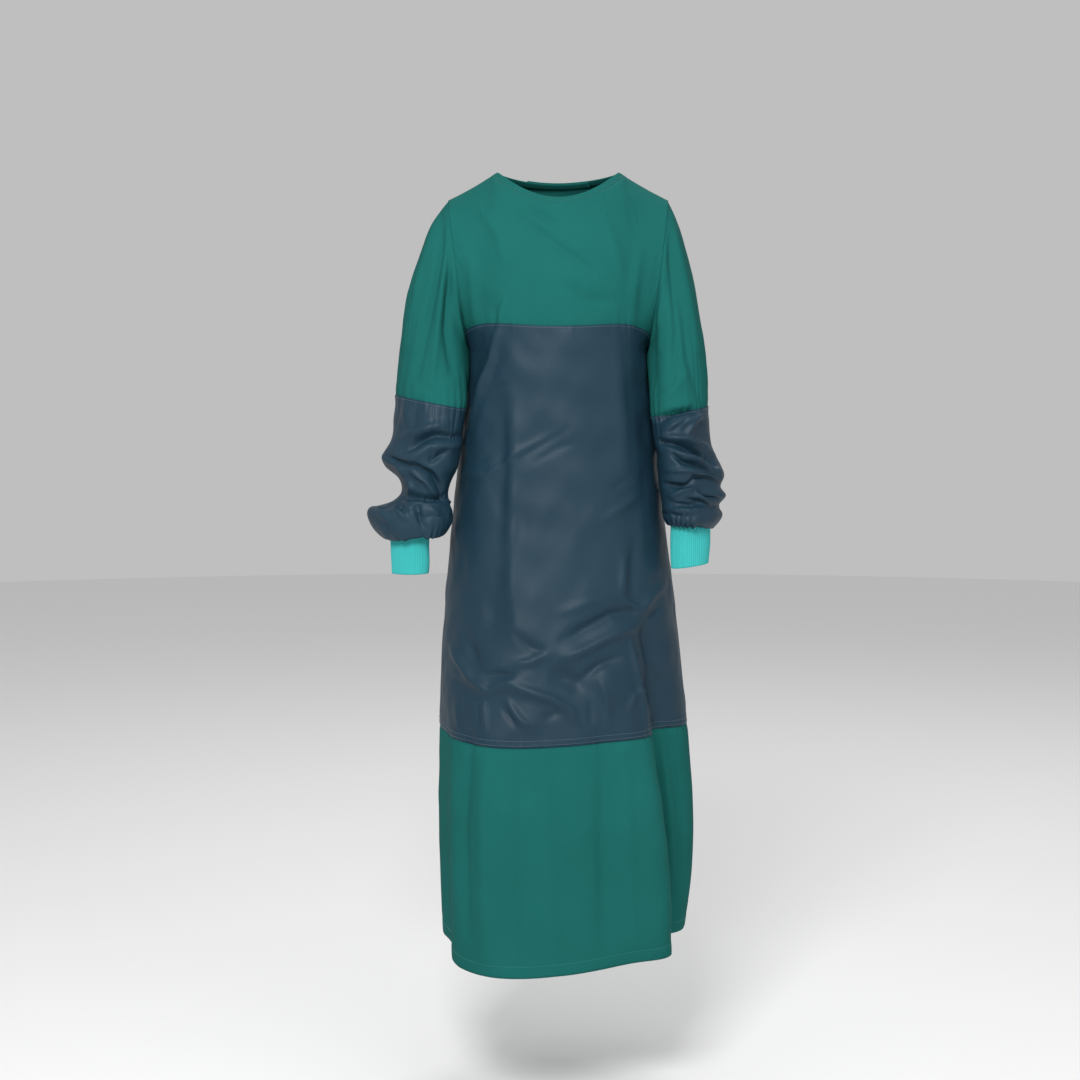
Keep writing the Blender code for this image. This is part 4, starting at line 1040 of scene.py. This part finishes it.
def cloth_uv(points, closed):
    """Distance across and down the cloth, in metres, at every corner of every face."""
    rows, columns = points.shape[:2]
    across = lengths(points, 1)
    if closed:
        last = across[:, -1:] + np.linalg.norm(points[:, :1] - points[:, -1:], axis=-1)
        across = np.concatenate([across, last], axis=1)
    u = across.mean(axis=0)[None, :] + 0 * across
    v = -lengths(points, 0).mean(axis=1)[:, None] + 0 * across
    place = np.stack([u, v], axis=-1)
    cell = [place[:-1, :-1], place[1:, :-1], place[1:, 1:], place[:-1, 1:]]
    return np.stack(cell, axis=-2).reshape(-1, 2)


def make_cloth(name, points, node, material, closed=False, thickness=CLOTH_THICKNESS):
    """One piece of cloth with its thickness, in the place of its CAD node."""
    faces = grid_faces(points.shape[0], points.shape[1], closed)
    piece = make_mesh(name, points.reshape(-1, 3), faces, cloth_uv(points, closed))
    piece.data.materials.append(material)
    wall = piece.modifiers.new("thickness", "SOLIDIFY")
    wall.thickness = thickness
    wall.offset = -1.0
    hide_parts(node)
    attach(piece, "root")
    return piece

# %% [markdown]
# ## Materials
#
# Three cloths make the gown. A real thread is 0.2 mm thick, far too fine to show, so each weave is
# drawn coarser and faint.

# %% Colours and nodes
def linear(hex_colour):
    """sRGB hex to linear: ((c + 0.055) / 1.055)^2.4 above 0.04045, c / 12.92 below."""
    channels = [int(hex_colour[i: i + 2], 16) / 255 for i in (1, 3, 5)]
    return tuple(((c + 0.055) / 1.055) ** 2.4 if c > 0.04045 else c / 12.92 for c in channels) + (1.0,)


def add_node(material, kind, inputs, **settings):
    """A node with its settings, its plain values and the links that come into it."""
    node = material.node_tree.nodes.new(kind)
    for key, value in settings.items():
        setattr(node, key, value)
    for key, value in inputs.items():
        if isinstance(value, bpy.types.NodeSocket):
            material.node_tree.links.new(value, node.inputs[key])
        else:
            node.inputs[key].default_value = value
    return node


def new_material(name):
    """An empty node material, and its output node."""
    material = bpy.data.materials.new(name)
    material.use_nodes = True
    material.node_tree.nodes.clear()
    return material, material.node_tree.nodes.new("ShaderNodeOutputMaterial")


def wave_scale(pitch):
    """Scale at which the Wave texture repeats once in a pitch: 2 pi / (20 pitch)."""
    return 2 * math.pi / (20 * pitch)


# %% Woven and knitted cloth
ROUGHNESS_SPREAD = 0.06
THREAD_HEIGHT = 0.0004


def weave_height(material, pitch_across, pitch_down):
    """Product of two waves across and down the cloth: threads that pass over and under."""
    place = add_node(material, "ShaderNodeTexCoord", {}).outputs["UV"]
    warp = add_node(material, "ShaderNodeTexWave", {"Vector": place, "Scale": wave_scale(pitch_across)},
                    bands_direction="X")
    weft = add_node(material, "ShaderNodeTexWave", {"Vector": place, "Scale": wave_scale(pitch_down)},
                    bands_direction="Y")
    return add_node(material, "ShaderNodeMath", {0: warp.outputs["Fac"], 1: weft.outputs["Fac"]},
                    operation="MULTIPLY").outputs["Value"]


def cloth_material(name, light, dark, roughness, specular, sheen, pitch, bump, patch_scale):
    """A cloth whose colour wanders between two shades, with a weave in its bump."""
    material, output = new_material(name)
    place = add_node(material, "ShaderNodeTexCoord", {}).outputs["Object"]
    patches = add_node(material, "ShaderNodeTexNoise",
                       {"Vector": place, "Scale": patch_scale, "Detail": 4.0})
    height = weave_height(material, pitch[0], pitch[1])
    spread = add_node(material, "ShaderNodeMath", {0: height, 1: 0.35, 2: -0.09}, operation="MULTIPLY_ADD")
    share = add_node(material, "ShaderNodeMath", {0: patches.outputs["Fac"], 1: spread.outputs["Value"]},
                     operation="ADD")
    colour = add_node(material, "ShaderNodeMix", {
        "Factor": share.outputs["Value"], 6: linear(dark), 7: linear(light)}, data_type="RGBA")
    rough = add_node(material, "ShaderNodeMapRange", {
        "Value": patches.outputs["Fac"],
        "To Min": roughness - ROUGHNESS_SPREAD,
        "To Max": roughness + ROUGHNESS_SPREAD})
    relief = add_node(material, "ShaderNodeBump", {
        "Height": height, "Strength": bump, "Distance": THREAD_HEIGHT})
    shader = add_node(material, "ShaderNodeBsdfPrincipled", {
        "Base Color": colour.outputs[2],
        "Roughness": rough.outputs["Result"],
        "Specular IOR Level": specular,
        "Sheen Weight": sheen,
        "Sheen Roughness": 0.5,
        "Normal": relief.outputs["Normal"]})
    material.node_tree.links.new(shader.outputs["BSDF"], output.inputs["Surface"])
    return material


# Poly-cotton plain weave, washed often: quite matt, since its short fibres scatter the light
green_cotton = cloth_material(
    "green_poly_cotton", "#1c635f", "#175752", roughness=0.9, specular=0.05, sheen=0.0,
    pitch=(0.0024, 0.0024), bump=0.25, patch_scale=9.0)
# Tightly woven polyester microfibre, proofed against water: dark, with a low satin sheen
dark_microfibre = cloth_material(
    "dark_microfibre", "#1b3746", "#142d3c", roughness=0.52, specular=0.24, sheen=0.0,
    pitch=(0.0028, 0.0018), bump=0.25, patch_scale=7.0)
# Cotton rib knit: bright and matt, its ribs are in the mesh
turquoise_knit = cloth_material(
    "turquoise_rib_knit", "#3eb2b0", "#36a6a4", roughness=0.9, specular=0.12, sheen=0.05,
    pitch=(0.0028, 0.0016), bump=0.3, patch_scale=12.0)
# Polyester sewing thread in two colours
green_thread = cloth_material(
    "green_thread", "#2b7d78", "#257470", roughness=0.6, specular=0.4, sheen=0.1,
    pitch=(0.001, 0.001), bump=0.1, patch_scale=20.0)
dark_thread = cloth_material(
    "slate_thread", "#4a6573", "#415a67", roughness=0.5, specular=0.4, sheen=0.1,
    pitch=(0.001, 0.001), bump=0.1, patch_scale=20.0)

floor_paint, floor_output = new_material("pale_floor")
floor_shader = add_node(floor_paint, "ShaderNodeBsdfPrincipled", {
    "Base Color": linear("#f2f2f2"), "Roughness": 0.9})
floor_paint.node_tree.links.new(floor_shader.outputs["BSDF"], floor_output.inputs["Surface"])
floor.data.materials.append(floor_paint)

# %% [markdown]
# ## The pieces of the body
#
# The panel lies over the yoke at the chest and over the skirt at its lower edge, and the front lies
# over the back at the side seams. The left back panel laps over the right one.

# %% Front
yoke_points = front_fine[: chest_row + 1]
panel_points = front_fine[chest_row: skirt_row + 1]
skirt_points = front_fine[skirt_row:]
yoke = make_cloth("yoke_cloth", tucked(yoke_points, 0, "last"), "front_yoke", green_cotton)
panel = make_cloth("panel_cloth", panel_points, "front_panel", dark_microfibre)
skirt = make_cloth("skirt_cloth", tucked(skirt_points, 0, "first"), "front_skirt", green_cotton)


# %% Back
fine_turn = refine_lines(np.linspace(90.0, 270.0, HALF_COLUMNS + 1)[:, None], False)[:, 0]


def lifted_left():
    """The left back panel, lifted along its normals where it lies over the right one."""
    rise = LAP_RISE * ease((fine_turn - LAP_RISE_START) / (LAP_RISE_END - LAP_RISE_START))
    lifted = back_fine + normals_of(back_fine) * rise[None, :, None]
    return lifted[:, fine_turn <= 180.0 + LAP_HALF]


LEAST_TUCK = 0.0008           # all there is of the tucked edge on the shoulder
TUCK_START_ROW = 4
TUCK_GROWTH_ROWS = 30.0
tuck_growth = ease((np.arange(back_fine.shape[0]) - TUCK_START_ROW) / TUCK_GROWTH_ROWS)
side_tuck = LEAST_TUCK + (TUCK_LENGTH - LEAST_TUCK) * tuck_growth
upper_lap = lifted_left()
under_part = back_fine[:, fine_turn >= 180.0 - LAP_HALF]
back_points = {
    "right": tucked(under_part, 1, "last", length=side_tuck),
    "left": tucked(upper_lap, 1, "first", length=side_tuck),
}
for side in SIDES:
    make_cloth(
        f"back_cloth_{side}", back_points[side], f"back_panel_{side}", green_cotton)

# %% Sleeves and cuffs
RIBS = 62
RIB_HEIGHT = 0.0005
KNIT_UNREST = 0.0006
KNIT_THICKNESS = 0.0012
ARMHOLE_TUCK_LENGTH = 0.002   # shorter and shallower, so that the seam hardly shows
ARMHOLE_TUCK_DEPTH = 0.0008


def ribbed(grid):
    """A cuff's grid with four times the columns, its ribs a sine round it."""
    knit = refine(grid, closed=True)
    knit = np.swapaxes(refine_lines(np.swapaxes(knit, 0, 1), True), 0, 1)
    knit_normals = normals_of(knit, closed=True)
    turn_share = np.arange(knit.shape[1]) / knit.shape[1]
    ribs = RIB_HEIGHT * np.sin(2 * math.pi * RIBS * turn_share)[None, :, None]
    return knit + knit_normals * (ribs + undulation(knit, 11, KNIT_UNREST)[..., None])


uppers, forearms, cuffs = {}, {}, {}
for side in SIDES:
    upper = tucked(sleeve_fine[side][: CUT_RING + 1], 0, "first",
                   length=ARMHOLE_TUCK_LENGTH, depth=ARMHOLE_TUCK_DEPTH)
    uppers[side] = make_cloth(
        f"sleeve_upper_cloth_{side}", tucked(upper, 0, "last"), f"sleeve_upper_{side}",
        green_cotton, closed=True)
    forearms[side] = make_cloth(
        f"sleeve_lower_cloth_{side}", sleeve_fine[side][CUT_RING:], f"sleeve_lower_{side}",
        dark_microfibre, closed=True)
    cuffs[side] = make_cloth(
        f"cuff_knit_{side}", tucked(ribbed(cuff_grid[side]), 0, "first"), f"cuff_{side}",
        turquoise_knit, closed=True, thickness=KNIT_THICKNESS)
print("pieces of cloth:", 5 + len(uppers) + len(forearms) + len(cuffs))

# %% [markdown]
# ## The bound neck
#
# A strip of the same cloth is folded over the raw edge of the neck and stitched down. It is swept
# as a flattened tube: the section's long axis runs from the cloth to the edge, and its ends lie
# in the lap at the back.

# %% Binding
BINDING_THICKNESS = 0.0026
BINDING_OVERHANG = 0.0004     # how far it reaches past its strip, and how far it sits into the cloth
SECTION_POINTS = 16
CORNER_POWER = 0.6            # 1 is an ellipse, 0 a rectangle
LAP_POINTS = 55
FRONT_POINTS = 121


def swept(name, middle, wide, thick, half_width, half_thickness, material):
    """Closed tube: middle + wide cos(a)^0.6 half_width + thick sin(a)^0.6 half_thickness, where
    each power keeps the sign of its base, with a cap at both ends."""
    angle = np.linspace(0.0, 2 * math.pi, SECTION_POINTS, endpoint=False)[None, :, None]
    square = [np.sign(f(angle)) * np.abs(f(angle)) ** CORNER_POWER for f in (np.cos, np.sin)]
    ring = middle[:, None] + wide[:, None] * square[0] * half_width
    ring = ring + thick[:, None] * square[1] * half_thickness
    count = ring.shape[0] * SECTION_POINTS
    faces = grid_faces(ring.shape[0], SECTION_POINTS, True)
    caps = [middle[:1], middle[-1:]]
    points = np.concatenate([ring.reshape(-1, 3)] + caps)
    start, end = np.arange(SECTION_POINTS), np.arange(count - SECTION_POINTS, count)
    first_cap = np.stack([np.roll(start, -1), np.full_like(start, count), start], axis=-1)
    last_cap = np.stack([end, np.full_like(end, count + 1), np.roll(end, -1)], axis=-1)
    triangles = np.concatenate([first_cap, last_cap])
    tube = make_mesh(name, points, faces, None, triangles)
    tube.data.materials.append(material)
    return tube


def neck_line(spread):
    """The neckline at a distance down the cloth, from the under lap's edge over the right shoulder,
    round the front and the left shoulder to the upper lap's edge."""
    lap = 90.0 * LAP_HALF / NECK_TURN
    behind_right = np.linspace(lap, -90.0, LAP_POINTS)[:-1]
    in_front = np.linspace(-90.0, 90.0, FRONT_POINTS)
    behind_left = np.linspace(90.0, -lap, LAP_POINTS)[1:]
    swing = np.concatenate([behind_right, in_front, behind_left])
    facing = np.concatenate([0 * behind_right + 1.0, 0 * in_front - 1.0, 0 * behind_left + 1.0])
    return neckline(swing, facing, spread)


edge = neck_line(0.0)
cloth_side = neck_line(BINDING_WIDTH)
lift = np.zeros((len(edge), 1))
lift[1 - LAP_POINTS:, 0] = LAP_RISE * ease(np.linspace(0.0, 1.6, LAP_POINTS - 1))
neck_across = unit(cloth_side - edge)
neck_out = unit(np.cross(neck_across, unit(np.gradient(edge, axis=0))))
neck_middle = (edge + cloth_side) / 2 + neck_out * lift - neck_out * BINDING_OVERHANG
binding = swept("neck_binding_roll", neck_middle, neck_across, neck_out,
                BINDING_WIDTH / 2 + BINDING_OVERHANG, BINDING_THICKNESS / 2, green_cotton)
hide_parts("neck_binding")
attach(binding, "root")

# %% [markdown]
# ## Ties
#
# Two pairs of flat tapes close the back, at the neck and at the waist. Each tape is sewn down at
# one end, runs to the knot and hangs from it. Their route is drawn on the back as seen from
# behind, and each point is laid on the nearest places of the cloth.

# %% Tapes
TAPE_WIDTH = 0.011
TAPE_THICKNESS = 0.0014
KNOT_WIDTH = 0.013
KNOT_THICKNESS = 0.008
KNOT_FROM_EDGE = 0.012
KNOT_REACH = 0.8              # half length of the knot, in rows of the route
TAPE_GAP = 0.0008             # how far its middle keeps from the cloth beyond half its thickness
TAIL_SWAY = 0.0016
SWAY_PACE = 2.1
EDGE_STEP = 0.004             # way over which a tape steps down from the lap's edge
TIE_ROWS = (
    # name, height of the knot, length of the tail
    ("neck", -0.050, 0.130),
    ("waist", -0.520, 0.210),
)
# distance aside of the knot's middle, distance below it, share of the tail that is added
ROUTE_ROWS = (
    (0.0520, -0.003, 0.0),
    (0.0360, -0.001, 0.0),
    (0.0190, 0.000, 0.0),
    (0.0085, 0.005, 0.0),
    (0.0070, 0.018, 0.0),
    (0.0095, 0.018, 0.3),
    (0.0150, 0.018, 0.7),
    (0.0170, 0.018, 1.0),
)
KNOT_ROW = 3
TAPE_STEPS = 120
NEAR_PLACES = 4


def on_cloth(points, normals, x, z):
    """Weighted mean of the nearest points of a grid, seen from behind, and of its normals there."""
    flat, flat_normals = points.reshape(-1, 3), normals.reshape(-1, 3)
    apart = np.hypot(flat[None, :, 0] - x[:, None], flat[None, :, 2] - z[:, None])
    nearest = np.argpartition(apart, NEAR_PLACES, axis=1)[:, :NEAR_PLACES]
    weight = 1.0 / (np.take_along_axis(apart, nearest, axis=1) + 1e-4)
    weight = (weight / weight.sum(axis=1, keepdims=True))[..., None]
    return (flat[nearest] * weight).sum(axis=1), unit((flat_normals[nearest] * weight).sum(axis=1))


def smoothed(values, rounds):
    """Each value replaced by the mean of itself and its neighbours, several times."""
    for _ in range(rounds):
        inner = (values[:-2] + 2 * values[1:-1] + values[2:]) / 4
        values = np.concatenate([values[:1], inner, values[-1:]])
    return values


def make_tie(name, side, height, tail):
    """One tape, swollen into half a knot, on the back's cloth."""
    sign = 1.0 if side == "left" else -1.0
    row = np.argmin(np.abs(upper_lap[:, -1, 2] - height))
    knot_x = upper_lap[row, -1, 0] + KNOT_FROM_EDGE
    aside, under_knot, share_of_tail = np.array(ROUTE_ROWS).T
    stations = np.arange(len(ROUTE_ROWS), dtype=float)
    place = np.linspace(0.0, stations[-1], TAPE_STEPS + 1)
    x = knot_x + sign * smooth_curve(place, stations, aside)
    z = height - smooth_curve(place, stations, under_knot + share_of_tail * tail)
    x += TAIL_SWAY * sign * np.sin(SWAY_PACE * place + height) * ease((place - KNOT_ROW) / 2.0)
    spot, out = on_cloth(upper_lap, upper_normals, x, z)
    under, under_out = on_cloth(back_fine, back_out, x, z)
    past_edge = ease((upper_lap[row, -1, 0] - x) / EDGE_STEP)
    beyond = (past_edge if side == "right" else 0.0 * x)[:, None]
    spot = spot * (1 - beyond) + under * beyond
    out = unit(out * (1 - beyond) + under_out * beyond)
    fat = np.exp(-(np.abs(place - KNOT_ROW) / KNOT_REACH) ** 4)[:, None]
    half_width = (TAPE_WIDTH + (KNOT_WIDTH - TAPE_WIDTH) * fat)[:, None] / 2
    half_thickness = (TAPE_THICKNESS + (KNOT_THICKNESS - TAPE_THICKNESS) * fat)[:, None] / 2
    middle = smoothed(spot, 6) + out * (TAPE_GAP + half_thickness[:, 0])
    forward = unit(np.gradient(middle, axis=0))
    out = unit(out - forward * np.sum(out * forward, axis=-1, keepdims=True))
    tape = swept(name, middle, np.cross(forward, out), out, half_width, half_thickness, green_cotton)
    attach(tape, "root")
    return tape, float(lengths(middle[:, None], 0)[-1, 0])


upper_normals = normals_of(upper_lap)
back_out = normals_of(back_fine)
for place_name, height, tail in TIE_ROWS:
    for side in SIDES:
        tape, length = make_tie(f"{place_name}_tape_{side}", side, height, tail)
        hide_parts(f"{place_name}_tie_{side}")
        print(f"{tape.name}: {length * 1000:.0f} mm")

# %% [markdown]
# ## Stitching
#
# Lockstitch shows as a row of short threads. Each stitch is a small bar with six faces, so that
# more than a thousand of them stay light.

# %% Rows of stitches
STITCH_LENGTH = 0.0032
STITCH_PITCH = 0.0043
STITCH_HALF_WIDTH = 0.00033
STITCH_HEIGHT = 0.00045
SEAM_TO_THREAD = 0.0035       # from a seam to the row of stitches beside it
SECOND_THREAD = 0.0105        # and to the second row at the panel's lower edge
# corners of a bar, in halves of its length and width and in its height
BAR_FOOT = [(-1, -1, 0), (1, -1, 0), (1, 1, 0), (-1, 1, 0)]
BAR_TOP = [(-0.7, -0.6, 1), (0.7, -0.6, 1), (0.7, 0.6, 1), (-0.7, 0.6, 1)]
BAR = np.array(BAR_FOOT + BAR_TOP)
BAR_FACES = np.array([(3, 2, 1, 0), (4, 5, 6, 7), (0, 1, 5, 4), (1, 2, 6, 5), (2, 3, 7, 6), (3, 0, 4, 7)])


def beside(points, row, offset):
    """Line on the cloth at a distance down from a row of the grid (up where it is negative)."""
    step = 1 if offset >= 0 else -1
    spacing = np.linalg.norm(points[row + step] - points[row], axis=-1).mean()
    place = row + offset / spacing
    low = int(math.floor(place))
    return points[low] + (points[low + 1] - points[low]) * (place - low)


def stitches(line, out):
    """Bars at an even pitch along a line: corner = middle + along a + across b + out c."""
    way = lengths(line[:, None], 0)[:, 0]
    count = int((way[-1] - STITCH_PITCH) / STITCH_PITCH)
    at = (np.arange(count) + 0.5) * STITCH_PITCH
    middle = np.stack([np.interp(at, way, line[:, i]) for i in range(3)], axis=-1)
    up = unit(np.stack([np.interp(at, way, out[:, i]) for i in range(3)], axis=-1))
    along = unit(np.stack([np.interp(at, way, np.gradient(line[:, i])) for i in range(3)], axis=-1))
    sideways = np.cross(up, along)
    scale = (STITCH_LENGTH / 2, STITCH_HALF_WIDTH, STITCH_HEIGHT)
    axes = [vector[:, None] * (BAR[None, :, i: i + 1] * scale[i])
            for i, vector in enumerate((along, sideways, up))]
    return middle[:, None] + axes[0] + axes[1] + axes[2]


def make_thread(name, rows, material):
    """One mesh from several rows of stitches."""
    bars = np.concatenate([stitches(line, out) for line, out in rows])
    faces = (np.arange(len(bars))[:, None, None] * 8 + BAR_FACES).reshape(-1, 4)
    thread = make_mesh(name, bars.reshape(-1, 3), faces)
    thread.data.shade_flat()
    thread.data.materials.append(material)
    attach(thread, "root")
    print(f"{name}: {len(bars)} stitches")
    return thread


def row_at(points, normals, row, offset, columns=slice(None)):
    """A stitched line beside a row, with the way its cloth faces."""
    return beside(points, row, offset)[columns], normals[row][columns]


front_out = normals_of(front_fine)
panel_thread = make_thread("panel_stitches", [
    row_at(front_fine, front_out, chest_row, SEAM_TO_THREAD),
    row_at(front_fine, front_out, skirt_row, -SEAM_TO_THREAD),
    row_at(front_fine, front_out, skirt_row, -SECOND_THREAD)], dark_thread)
hem_row = front_fine.shape[0] - 1
skirt_thread = make_thread("skirt_stitches", [
    row_at(front_fine, front_out, hem_row, -HEM_DEPTH)], green_thread)
on_binding = neck_middle + neck_across * (BINDING_WIDTH / 2 - 0.0012) + neck_out * BINDING_THICKNESS / 2.6
yoke_thread = make_thread("neck_stitches", [(on_binding, neck_out)], green_thread)
EDGE_COLUMN = -5              # the upper lap's column under its edge stitches
left_thread = make_thread("back_stitches_left", [
    row_at(upper_lap, upper_normals, hem_row, -HEM_DEPTH),
    (upper_lap[:, EDGE_COLUMN], upper_normals[:, EDGE_COLUMN])], green_thread)
right_columns = fine_turn > 180.0 + LAP_HALF + 1.0
right_thread = make_thread("back_stitches_right", [
    row_at(back_fine, back_out, hem_row, -HEM_DEPTH, right_columns)], green_thread)
for side in SIDES:
    points = np.concatenate([sleeve_fine[side], sleeve_fine[side][:, :1]], axis=1)
    outward = normals_of(sleeve_fine[side], closed=True)
    outward = np.concatenate([outward, outward[:, :1]], axis=1)
    make_thread(f"forearm_stitches_{side}", [
        row_at(points, outward, CUT_RING, SEAM_TO_THREAD)], dark_thread)
